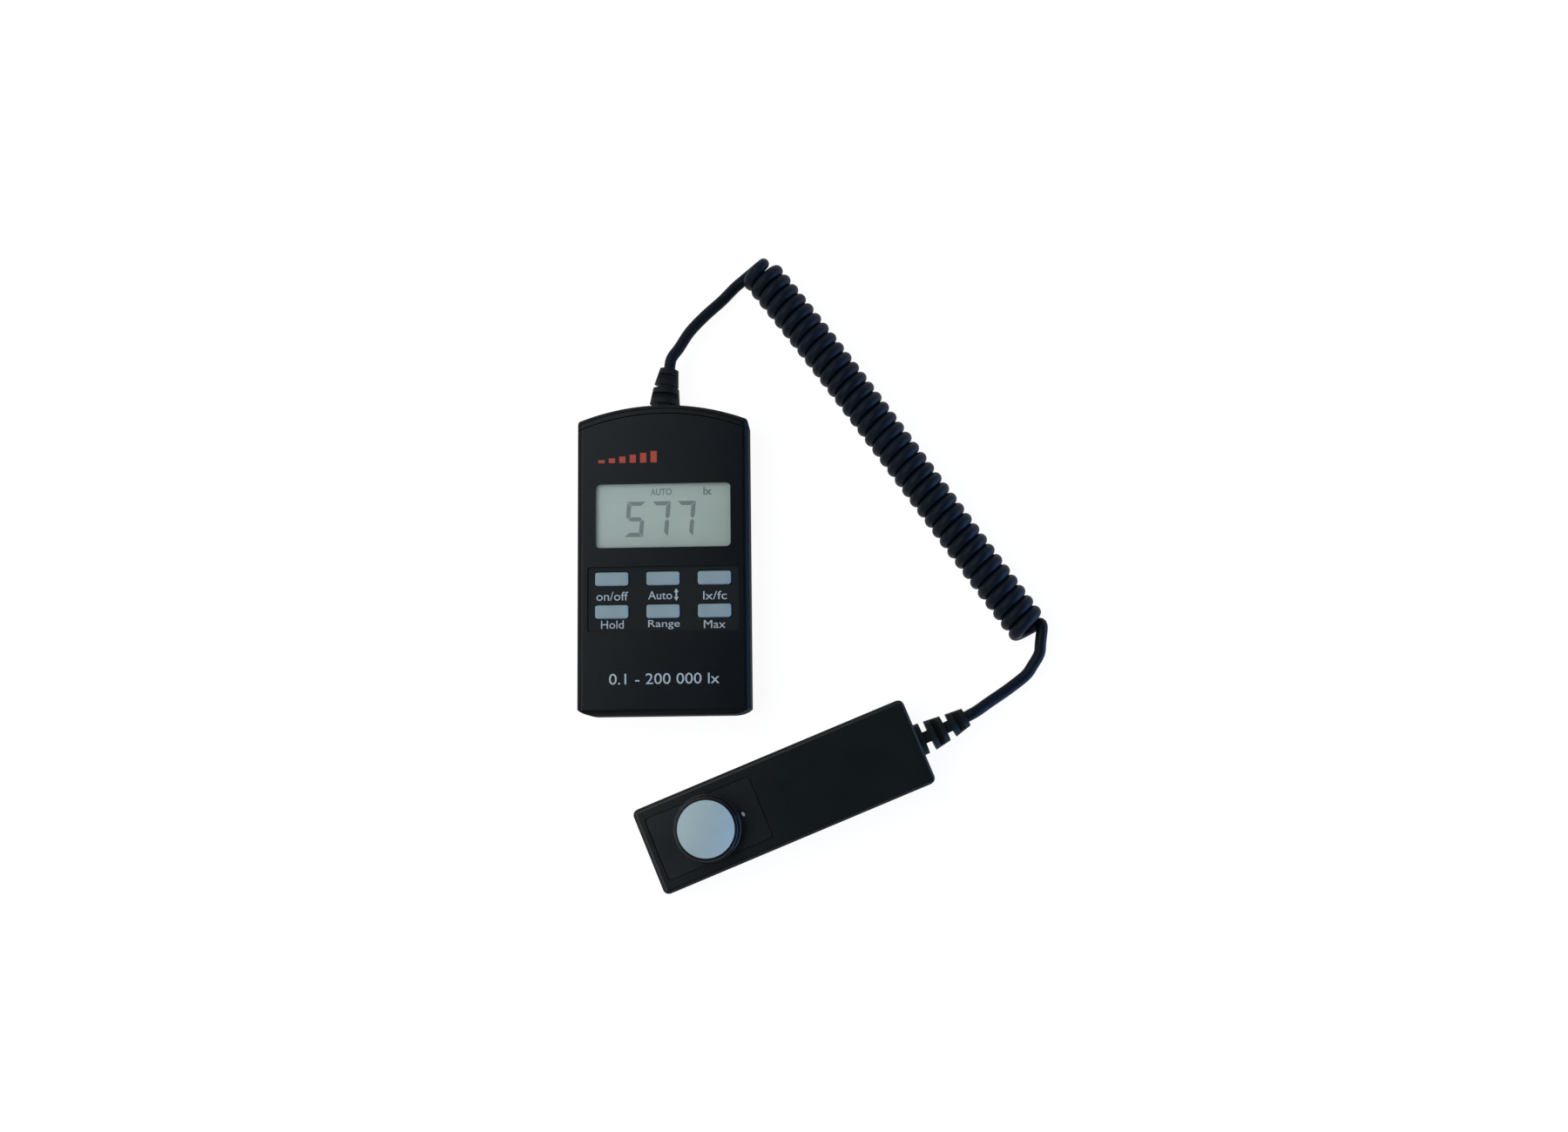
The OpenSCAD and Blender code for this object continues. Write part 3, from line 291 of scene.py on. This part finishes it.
def add_edge_wear_and_highlight(tree, shader, place, radius, wear_and_highlight):
    """Patchy colour where the surface bends within a radius in metres: partly wear, partly a painted edge
    highlight.
    """
    bevel = tree.nodes.new("ShaderNodeBevel")
    bevel.samples = WEAR_HIGHLIGHT_RAYS
    bevel.inputs["Radius"].default_value = radius
    match = tree.nodes.new("ShaderNodeVectorMath")
    match.operation = "DOT_PRODUCT"
    tree.links.new(bevel.outputs["Normal"], match.inputs[0])
    tree.links.new(tree.nodes.new("ShaderNodeNewGeometry").outputs["Normal"], match.inputs[1])
    edge = add_range(tree, match.outputs["Value"], 1, 0, WEAR_HIGHLIGHT_FULL, WEAR_HIGHLIGHT_NONE)
    patchy = tree.nodes.new("ShaderNodeMath")
    patchy.operation = "MULTIPLY"
    tree.links.new(edge, patchy.inputs[0])
    patches = add_noise(tree, place, WEAR_HIGHLIGHT_PATCH, WEAR_HIGHLIGHT_DETAIL)
    tree.links.new(add_range(tree, patches, *WEAR_HIGHLIGHT_STRENGTH), patchy.inputs[1])
    mix = tree.nodes.new("ShaderNodeMix")
    mix.data_type = "RGBA"
    colour = shader.inputs["Base Color"]
    tree.links.new(patchy.outputs[0], mix.inputs["Factor"])
    tree.links.new(colour.links[0].from_socket, mix.inputs[MIX_FIRST])
    mix.inputs[MIX_SECOND].default_value = (*wear_and_highlight, 1)
    tree.links.new(mix.outputs[MIX_RESULT], colour)


def case_plastic(name, low, high, wear_and_highlight, specular):
    """Black case: satin facing up, coarser and matt on its sides, edges lighter by wear and painted
    highlight.
    """
    material = moulded(name, low, high, rough=(0.23, 0.27), specular=specular, patch=0.02, grain=0.00035,
                       depth=0.00004)
    tree = material.node_tree
    shader = tree.nodes["Principled BSDF"]
    coordinates = tree.nodes.new("ShaderNodeTexCoord")
    satin = shader.inputs["Roughness"].links[0].from_node
    facing = tree.nodes.new("ShaderNodeSeparateXYZ")
    tree.links.new(coordinates.outputs["Normal"], facing.inputs[0])
    matt = add_range(tree, facing.outputs["Z"], SIDE_ROUGHNESS, 0, SIDE_UP, FACE_UP)
    both = tree.nodes.new("ShaderNodeMath")
    both.operation = "ADD"
    tree.links.new(satin.outputs[0], both.inputs[0])
    tree.links.new(matt, both.inputs[1])
    tree.links.new(both.outputs[0], shader.inputs["Roughness"])
    add_edge_wear_and_highlight(tree, shader, coordinates.outputs["Object"], CASE_WEAR_HIGHLIGHT_R, wear_and_highlight)
    return material


# The inlay's colour is partly its own and partly painted shade of the recess it sits in.
def inlay_plastic():
    return moulded("inlay_plastic", low=(0.0036, 0.0064, 0.0078), high=(0.0046, 0.0076, 0.0092),
                   rough=(0.46, 0.54), specular=0.12, patch=0.015, grain=0.0002, depth=0.00003)


def turret_plastic():
    return moulded("turret_plastic", low=(0.0014, 0.0024, 0.0042), high=(0.002, 0.0032, 0.0052),
                   rough=(0.24, 0.32), specular=0.2, patch=0.01, grain=0.0008, depth=0.00001, strength=0.1)


def cord_jacket():
    return moulded("cord_jacket", low=(0.0012, 0.0039, 0.0094), high=(0.0018, 0.0052, 0.0118),
                   rough=(0.45, 0.55), specular=0.1, patch=0.012, grain=0.0006, depth=0.00002)


def relief_rubber():
    return moulded("relief_rubber", low=(0.0024, 0.0048, 0.0068), high=(0.0034, 0.0062, 0.0084),
                   rough=(0.55, 0.65), specular=0.12, patch=0.008, grain=0.0004, depth=0.00003)


def key_plastic():
    material = moulded("key_plastic", low=(0.175, 0.248, 0.288), high=(0.195, 0.27, 0.31),
                       rough=(0.38, 0.48), specular=0.35, patch=0.006, grain=0.0002, depth=0.00002)
    tree = material.node_tree
    place = tree.nodes.new("ShaderNodeTexCoord").outputs["Object"]
    # Lighter key edges: partly wear, partly painted highlight.
    add_edge_wear_and_highlight(tree, tree.nodes["Principled BSDF"], place, radius=0.0004, wear_and_highlight=(0.26, 0.34, 0.4))
    return material


def opal_plastic():
    return moulded("opal_plastic", low=(0.276, 0.366, 0.404), high=(0.296, 0.386, 0.426),
                   rough=(0.4, 0.5), specular=0.3, patch=0.008, grain=0.0003, depth=0.00001, strength=0.15)


def display_glass():
    return moulded("display_glass", low=(0.302, 0.378, 0.345), high=(0.33, 0.406, 0.372),
                   rough=(0.3, 0.36), specular=0.4, patch=0.02, grain=0.0002, depth=0.000005, strength=0.1)


def board_lacquer():
    return moulded("board_lacquer", low=(0.012, 0.085, 0.04), high=(0.02, 0.12, 0.058),
                   rough=(0.25, 0.35), specular=0.5, patch=0.004, grain=0.0009, depth=0.00003)


def chip_epoxy():
    return moulded("chip_epoxy", low=(0.014, 0.014, 0.016), high=(0.022, 0.022, 0.025),
                   rough=(0.5, 0.65), specular=0.4, patch=0.003, grain=0.0001, depth=0.00001)


def header_nylon():
    return moulded("header_nylon", low=(0.66, 0.65, 0.6), high=(0.74, 0.73, 0.68),
                   rough=(0.4, 0.5), specular=0.4, patch=0.003, grain=0.0003, depth=0.00001)


def wire_jacket():
    return moulded("wire_jacket", low=(0.3, 0.035, 0.028), high=(0.42, 0.055, 0.04),
                   rough=(0.35, 0.45), specular=0.4, patch=0.003, grain=0.0003, depth=0.00001)


def connector_rubber():
    return moulded("connector_rubber", low=(0.05, 0.05, 0.055), high=(0.16, 0.16, 0.165),
                   rough=(0.6, 0.7), specular=0.3, patch=0.0004, grain=0.0002, depth=0.00001)


def plated_steel():
    material = moulded("plated_steel", low=(0.52, 0.53, 0.55), high=(0.62, 0.63, 0.65),
                       rough=(0.22, 0.36), specular=0.5, patch=0.002, grain=0.0002, depth=0.00001)
    material.node_tree.nodes["Principled BSDF"].inputs["Metallic"].default_value = 1
    return material


def cell_print():
    material = moulded("cell_print", low=(0.05, 0.055, 0.065), high=(0.075, 0.08, 0.09),
                       rough=(0.28, 0.36), specular=0.5, patch=0.01, grain=0.0003, depth=0.00001)
    material.node_tree.nodes["Principled BSDF"].inputs["Metallic"].default_value = 0.6
    return material


def filter_glass():
    return moulded("filter_glass", low=(0.16, 0.34, 0.2), high=(0.2, 0.4, 0.24),
                   rough=(0.05, 0.1), specular=0.5, patch=0.004, grain=0.001, depth=0.000002, strength=0.1)


def window_pane():
    """Clear pane: nearly see-through, with a faint haze that varies over it."""
    material, tree, shader, place = new_material("window_pane", roughness=0.08, specular=0.5)
    haze = add_noise(tree, place, size=0.012, detail=3)
    tint = add_ramp(tree, haze, low=(0.5, 0.56, 0.55), high=(0.58, 0.64, 0.63))
    tree.links.new(tint, shader.inputs["Base Color"])
    tree.links.new(add_range(tree, haze, low=0.06, high=0.16), shader.inputs["Roughness"])
    shader.inputs["Alpha"].default_value = 0.08
    return material


# Material for thin marks: print, and also the painted glint by the turret and the painted shade of screw
# recesses.
def ink(name, low, high):
    return moulded(name, low, high, rough=(0.45, 0.6), specular=0.3, patch=0.0008, grain=0.00015,
                   depth=0.00001)


def dress(material, *names):
    """Puts a material on CAD nodes."""
    for name in names:
        for slot in nodes[name].material_slots:
            slot.material = material


KEYS = range(1, 7)
meter_plastic = case_plastic("meter_plastic", low=(0.0022, 0.004, 0.006), high=(0.003, 0.005, 0.0072),
                             wear_and_highlight=(0.012, 0.014, 0.017), specular=0.1)
probe_plastic = case_plastic("probe_plastic", low=(0.0032, 0.0056, 0.0066), high=(0.0042, 0.0068, 0.0078),
                             wear_and_highlight=(0.013, 0.0155, 0.017), specular=0.2)
panel_plastic = case_plastic("panel_plastic", low=(0.0028, 0.0056, 0.0068), high=(0.0038, 0.0068, 0.008),
                             wear_and_highlight=(0.013, 0.0155, 0.017), specular=0.27)
dress(meter_plastic, "front_shell", "rear_shell", "top_cap", "battery_cover")
dress(probe_plastic, "probe_upper_shell", "probe_lower_shell")
dress(panel_plastic, "sensor_panel")
dress(inlay_plastic(), "keypad_plate")
dress(turret_plastic(), "sensor_turret")
dress(relief_rubber(), "meter_relief", "probe_relief")
dress(key_plastic(), *["keycap_%d" % i for i in KEYS])
dress(opal_plastic(), "diffuser")
dress(display_glass(), "lcd_panel")
dress(window_pane(), "lcd_window")
dress(board_lacquer(), "main_board", "probe_board")
dress(chip_epoxy(), "board_chips", "key_switches", *["plunger_%d" % i for i in KEYS])
dress(header_nylon(), "wire_header")
dress(wire_jacket(), "cord_wires", "probe_wires")
dress(connector_rubber(), "lcd_connectors")
dress(plated_steel(), "contact_plus", "contact_minus", "case_screws", "probe_screws", "photodiode")
dress(cell_print(), "battery_cell")
dress(filter_glass(), "filter_glass")
cord.data.materials.append(cord_jacket())


def add_piece(name, mesh, material):
    """New piece on the meter from a mesh in metres."""
    piece = bpy.data.objects.new(name, mesh)
    bpy.context.scene.collection.objects.link(piece)
    mesh.materials.clear()
    mesh.materials.append(material)
    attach(piece, "meter")


def plate_mesh(name, outlines, low, thickness=PRINT_T):
    """Thin closed plates over outlines, which run anticlockwise, standing on a level."""
    mesh = bpy.data.meshes.new(name)
    shape = bmesh.new()
    for outline in outlines:
        face = shape.faces.new([shape.verts.new((x, y, low)) for x, y in outline])
        grown = bmesh.ops.extrude_face_region(shape, geom=[face])["geom"]
        top = [v for v in grown if isinstance(v, bmesh.types.BMVert)]
        bmesh.ops.translate(shape, verts=top, vec=(0, 0, thickness))
    bmesh.ops.recalc_face_normals(shape, faces=shape.faces)
    shape.to_mesh(mesh)
    shape.free()
    return mesh


# Lettering before it is fitted to its box: half its thickness, and steps of its curves
LETTER_HALF_T = 0.5
LETTER_STEPS = 4


def word_mesh(name, words, box, low, weight=0.0):
    """Lettering that fills a box (left, right, bottom, top), as thin closed plates on a level.

    The weight thickens the strokes, as a share of the letters' size.
    """
    curve = bpy.data.curves.new(name, "FONT")
    curve.body = words
    curve.extrude = LETTER_HALF_T
    curve.offset = weight
    curve.resolution_u = LETTER_STEPS
    letters = bpy.data.objects.new(name, curve)
    bpy.context.scene.collection.objects.link(letters)
    bpy.context.view_layer.update()
    solid = letters.evaluated_get(bpy.context.evaluated_depsgraph_get())
    mesh = bpy.data.meshes.new_from_object(solid)
    bpy.data.objects.remove(letters)
    bpy.data.curves.remove(curve)
    x_low, x_high = [f(v.co.x for v in mesh.vertices) for f in (min, max)]
    y_low, y_high = [f(v.co.y for v in mesh.vertices) for f in (min, max)]
    left, right, bottom, top = box
    for v in mesh.vertices:
        v.co.x = left + (v.co.x - x_low) / (x_high - x_low) * (right - left)
        v.co.y = bottom + (v.co.y - y_low) / (y_high - y_low) * (top - bottom)
        v.co.z = low + (v.co.z + LETTER_HALF_T) / (2 * LETTER_HALF_T) * PRINT_T
    return mesh


# Words under the keys, each with its box (left, right, bottom, top) on the inlay
KEY_WORDS = [
    ("on/off", (-0.0254, -0.0133, -0.016, -0.0127)),
    ("Auto", (-0.0057, 0.0034, -0.0158, -0.0126)),
    ("lx/fc", (0.0152, 0.0242, -0.0161, -0.0129)),
    ("Hold", (-0.0236, -0.015, -0.0267, -0.0236)),
    ("Range", (-0.0057, 0.0063, -0.0272, -0.0236)),
    ("Max", (0.0154, 0.0236, -0.027, -0.0239)),
]
# Double arrow beside a word: its middle, half width, half height, half width of its bar and head height
ARROW_AT = (0.005, -0.01405)
ARROW_HALF_W = 0.0009
ARROW_HALF_H = 0.0024
ARROW_BAR = 0.0003
ARROW_HEAD = 0.0015
# Measuring range in the name field
RANGE_WORDS = "0.1 - 200 000 lx"
RANGE_BOX = (-0.0205, 0.0212, -0.0479, -0.0438)
# Row of level bars at the upper left of the face
BARS_LEFT = -0.0246
BARS_BOTTOM = 0.0368
BAR_COUNT = 6
BAR_W = 0.0024
BAR_PITCH = 0.004
BAR_LOW = 0.0012
BAR_HIGH = 0.0044
# Painted glint on the probe beside the turret's foot: its middle, direction, half length and half width
MARK_AT = (0.02976, -0.09675)
MARK_TURN = math.radians(-60)
MARK_HALF_L = 0.0009
MARK_HALF_W = 0.0005
MARK_POINTS = 16
PROBE_FACE_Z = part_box("sensor_panel")[1].z
# Painted shade of cross recesses on the screws: their middles, and the half length, half width and depth of
# an arm
CASE_SCREWS = [(-0.0247, 0.039), (-0.0247, -0.033), (0.0247, 0.039), (0.0247, -0.033)]
PROBE_SCREWS = [(0.04454, -0.101754), (0.089323, -0.083661), (0.036823, -0.082654), (0.081606, -0.064561)]
SCREW_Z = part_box("case_screws")[0].z
RECESS_HALF_L = 0.0011
RECESS_HALF_W = 0.0003
RECESS_DEPTH = 0.0002


def double_arrow():
    """Outline of the arrow that points up and down."""
    x, y = ARROW_AT
    neck = ARROW_HALF_H - ARROW_HEAD
    half = [(0, ARROW_HALF_H), (-ARROW_HALF_W, neck), (-ARROW_BAR, neck)]
    left = half + [(u, -v) for u, v in reversed(half)]
    right = [(-u, -v) for u, v in half[1:]] + [(-u, v) for u, v in reversed(half[1:])]
    return [(x + u, y + v) for u, v in left + right]


def level_bars():
    """Outlines of the level bars, from the lowest to the highest."""
    bars = []
    for i in range(BAR_COUNT):
        left = BARS_LEFT + i * BAR_PITCH
        top = BARS_BOTTOM + BAR_LOW + (BAR_HIGH - BAR_LOW) * i / (BAR_COUNT - 1)
        bars.append([(left, BARS_BOTTOM), (left + BAR_W, BARS_BOTTOM), (left + BAR_W, top), (left, top)])
    return bars


def cross(place):
    """Outline of the painted shade of a cross recess around a place."""
    x, y = place
    a, b = RECESS_HALF_L, RECESS_HALF_W
    arm = [(a, -b), (a, b), (b, b)]
    outline = []
    for _ in range(4):
        outline += [(x + u, y + v) for u, v in arm]
        arm = [(-v, u) for u, v in arm]
    return outline


def painted_glint():
    """Oval of the painted glint beside the turret."""
    c, s = math.cos(MARK_TURN), math.sin(MARK_TURN)
    outline = []
    for i in range(MARK_POINTS):
        a = 2 * math.pi * i / MARK_POINTS
        u, v = MARK_HALF_L * math.cos(a), MARK_HALF_W * math.sin(a)
        outline.append((MARK_AT[0] + u * c - v * s, MARK_AT[1] + u * s + v * c))
    return outline


white_print_and_glint = ink("white_print_and_glint", (0.3, 0.36, 0.42), (0.36, 0.42, 0.48))
red_ink = ink("red_ink", (0.3, 0.035, 0.02), (0.36, 0.045, 0.025))
for number, (words, box) in enumerate(KEY_WORDS, 1):
    name = "key_word_%d" % number
    add_piece(name, word_mesh(name, words, box, INLAY_Z), white_print_and_glint)
add_piece("range_arrow", plate_mesh("range_arrow", [double_arrow()], INLAY_Z), white_print_and_glint)
add_piece("range_words", word_mesh("range_words", RANGE_WORDS, RANGE_BOX, NAME_FIELD_Z), white_print_and_glint)
add_piece("level_bars", plate_mesh("level_bars", level_bars(), FACE_Z), red_ink)
# Dark crosses on the screw heads: painted shade of cross recesses, drawn as thin plates and not as hollows.
shade = ink("recess_shade", (0.012, 0.012, 0.013), (0.02, 0.02, 0.022))
for name, places in (("case_screw_recess_shade", CASE_SCREWS), ("probe_screw_recess_shade", PROBE_SCREWS)):
    crosses = [cross(place) for place in places]
    add_piece(name, plate_mesh(name, crosses, SCREW_Z - PRINT_T, RECESS_DEPTH), shade)
# White oval beside the turret's foot: a painted glint, drawn with the white print material.
add_piece("painted_glint", plate_mesh("painted_glint", [painted_glint()], PROBE_FACE_Z), white_print_and_glint)

# Display: a three-figure reading with a mode word and its unit, clear of the glass by a third of their
# thickness. SEGMENTS names the bars of each figure used.
READING = "577"
DIGIT_W = 0.0071
DIGIT_H = 0.0136
DIGIT_PITCH = 0.00958
DIGIT_LEFT = -0.01495
DIGIT_BOTTOM = 0.00845
DIGIT_SLANT = 0.09
STROKE = 0.0016
STROKE_GAP = 0.00016
WORD_WEIGHT = 0.02
MODE_WORD = "AUTO"
MODE_BOX = (-0.0049, 0.0033, 0.0244, 0.027)
UNIT_WORD = "lx"
UNIT_BOX = (0.0154, 0.0186, 0.0243, 0.0274)
SEGMENTS = {"5": "afgcd", "7": "abc"}
SEGMENT_Z = DISPLAY_Z + PRINT_T / 3


def figure_bars():
    """Bars of a seven-segment figure by letter, as outlines from its lower left corner."""
    w, h, s, g = DIGIT_W, DIGIT_H, STROKE, STROKE_GAP
    m = h / 2
    bars = {
        "a": [(s + g, h - s), (w - s - g, h - s), (w - g, h), (g, h)],
        "b": [(w - s / 2, m + g), (w, m + s / 2 + g), (w, h - g), (w - s, h - s - g), (w - s, m + s / 2 + g)],
        "g": [(s / 2 + g, m), (s + g, m - s / 2), (w - s - g, m - s / 2), (w - s / 2 - g, m),
              (w - s - g, m + s / 2), (s + g, m + s / 2)],
    }
    bars["c"] = [(x, h - y) for x, y in reversed(bars["b"])]
    bars["d"] = [(x, h - y) for x, y in reversed(bars["a"])]
    bars["f"] = [(w - x, y) for x, y in reversed(bars["b"])]
    return bars


def reading_outlines():
    """Outlines of all bars of the reading, slanted."""
    bars = figure_bars()
    outlines = []
    for i, figure in enumerate(READING):
        left = DIGIT_LEFT + i * DIGIT_PITCH
        for letter in SEGMENTS[figure]:
            outlines.append([(left + x + DIGIT_SLANT * y, DIGIT_BOTTOM + y) for x, y in bars[letter]])
    return outlines


segment_ink = ink("segment_ink", (0.082, 0.118, 0.112), (0.105, 0.145, 0.138))
add_piece("reading", plate_mesh("reading", reading_outlines(), SEGMENT_Z), segment_ink)
for name, words, box in (("mode_word", MODE_WORD, MODE_BOX), ("unit_word", UNIT_WORD, UNIT_BOX)):
    add_piece(name, word_mesh(name, words, box, SEGMENT_Z, WORD_WEIGHT), segment_ink)

# Floor, lamps and world. FLOOR_WHITE is the share of the floor's own glow in what is seen of it, and the
# world runs from walls to ceiling between two heights of the unit sphere.
FLOOR_HALF = 8
FLOOR_Z = -0.0002
FLOOR_GREY = 0.9
FLOOR_WHITE = 0.86
FLOOR_GLOW = 1.08
SOFT_BOX_AT = Vector((-0.483, 0.05, 0.8))
SOFT_BOX_SIZE = (0.7, 1.1)
SOFT_BOX_POWER = 7.35
SOFT_BOX_TURN = math.radians(-14)
SOFT_BOX_TARGET = SOFT_BOX_AT - Vector((0, 0, 1))
SOFT_BOX_COLOUR = (0.93, 0.98, 1)
SIDE_LAMP_AT = Vector((0.75, -0.2, 0.055))
SIDE_LAMP_SIZE = (1.0, 0.09)
SIDE_LAMP_POWER = 8
SIDE_LAMP_TARGET = Vector((0.05, 0, 0.01))
SIDE_LAMP_COLOUR = (0.1, 0.4, 1)
WALL_COLOUR = (1, 1, 1)
CEILING_COLOUR = (0.12, 0.13, 0.14)
WALL_END = 0.3
CEILING_START = 0.75


def make_floor():
    """Pale floor: mostly its own white for what sees it, and the rest lit, so that it keeps the shadow."""
    mesh = bpy.data.meshes.new("floor")
    h = FLOOR_HALF
    mesh.from_pydata([(-h, -h, 0), (h, -h, 0), (h, h, 0), (-h, h, 0)], [], [(0, 1, 2, 3)])
    floor = bpy.data.objects.new("floor", mesh)
    floor.location.z = FLOOR_Z
    bpy.context.scene.collection.objects.link(floor)
    material = bpy.data.materials.new("floor_white")
    material.use_nodes = True
    tree = material.node_tree
    shader = tree.nodes["Principled BSDF"]
    shader.inputs["Base Color"].default_value = (FLOOR_GREY, FLOOR_GREY, FLOOR_GREY, 1)
    shader.inputs["Roughness"].default_value = 1
    shader.inputs["Specular IOR Level"].default_value = 0
    glow = tree.nodes.new("ShaderNodeEmission")
    glow.inputs["Strength"].default_value = FLOOR_GLOW
    ray = tree.nodes.new("ShaderNodeLightPath")
    seen = ray.outputs["Is Camera Ray"]
    for other in ("Is Glossy Ray", "Is Transmission Ray"):
        either = tree.nodes.new("ShaderNodeMath")
        either.operation = "MAXIMUM"
        tree.links.new(seen, either.inputs[0])
        tree.links.new(ray.outputs[other], either.inputs[1])
        seen = either.outputs[0]
    share = tree.nodes.new("ShaderNodeMath")
    share.operation = "MULTIPLY"
    share.inputs[1].default_value = FLOOR_WHITE
    tree.links.new(seen, share.inputs[0])
    mix = tree.nodes.new("ShaderNodeMixShader")
    tree.links.new(share.outputs[0], mix.inputs["Fac"])
    tree.links.new(shader.outputs[0], mix.inputs[1])
    tree.links.new(glow.outputs[0], mix.inputs[2])
    tree.links.new(mix.outputs[0], tree.nodes["Material Output"].inputs["Surface"])
    mesh.materials.append(material)


def make_lamp(name, place, target, size, power, colour, turn=0.0):
    """Lamp that faces a target and is turned about that direction."""
    data = bpy.data.lights.new(name, "AREA")
    data.shape = "RECTANGLE"
    data.size, data.size_y = size
    data.energy = power
    data.color = colour
    lamp = bpy.data.objects.new(name, data)
    lamp.location = place
    lamp.rotation_mode = "QUATERNION"
    facing = (target - place).to_track_quat("-Z", "Y")
    lamp.rotation_quaternion = facing @ Quaternion((0, 0, 1), turn)
    bpy.context.scene.collection.objects.link(lamp)


def make_world():
    """White walls around a darker ceiling."""
    world = bpy.data.worlds.new("studio")
    world.use_nodes = True
    tree = world.node_tree
    up = tree.nodes.new("ShaderNodeSeparateXYZ")
    tree.links.new(tree.nodes.new("ShaderNodeTexCoord").outputs["Generated"], up.inputs[0])
    colour = add_ramp(tree, up.outputs["Z"], WALL_COLOUR, CEILING_COLOUR, WALL_END, CEILING_START)
    tree.links.new(colour, tree.nodes["Background"].inputs["Color"])
    bpy.context.scene.world = world


make_floor()
make_lamp("soft_box", SOFT_BOX_AT, SOFT_BOX_TARGET, SOFT_BOX_SIZE, SOFT_BOX_POWER, SOFT_BOX_COLOUR,
          SOFT_BOX_TURN)
make_lamp("side_lamp", SIDE_LAMP_AT, SIDE_LAMP_TARGET, SIDE_LAMP_SIZE, SIDE_LAMP_POWER, SIDE_LAMP_COLOUR)
make_world()
bpy.context.scene.view_settings.view_transform = "Standard"
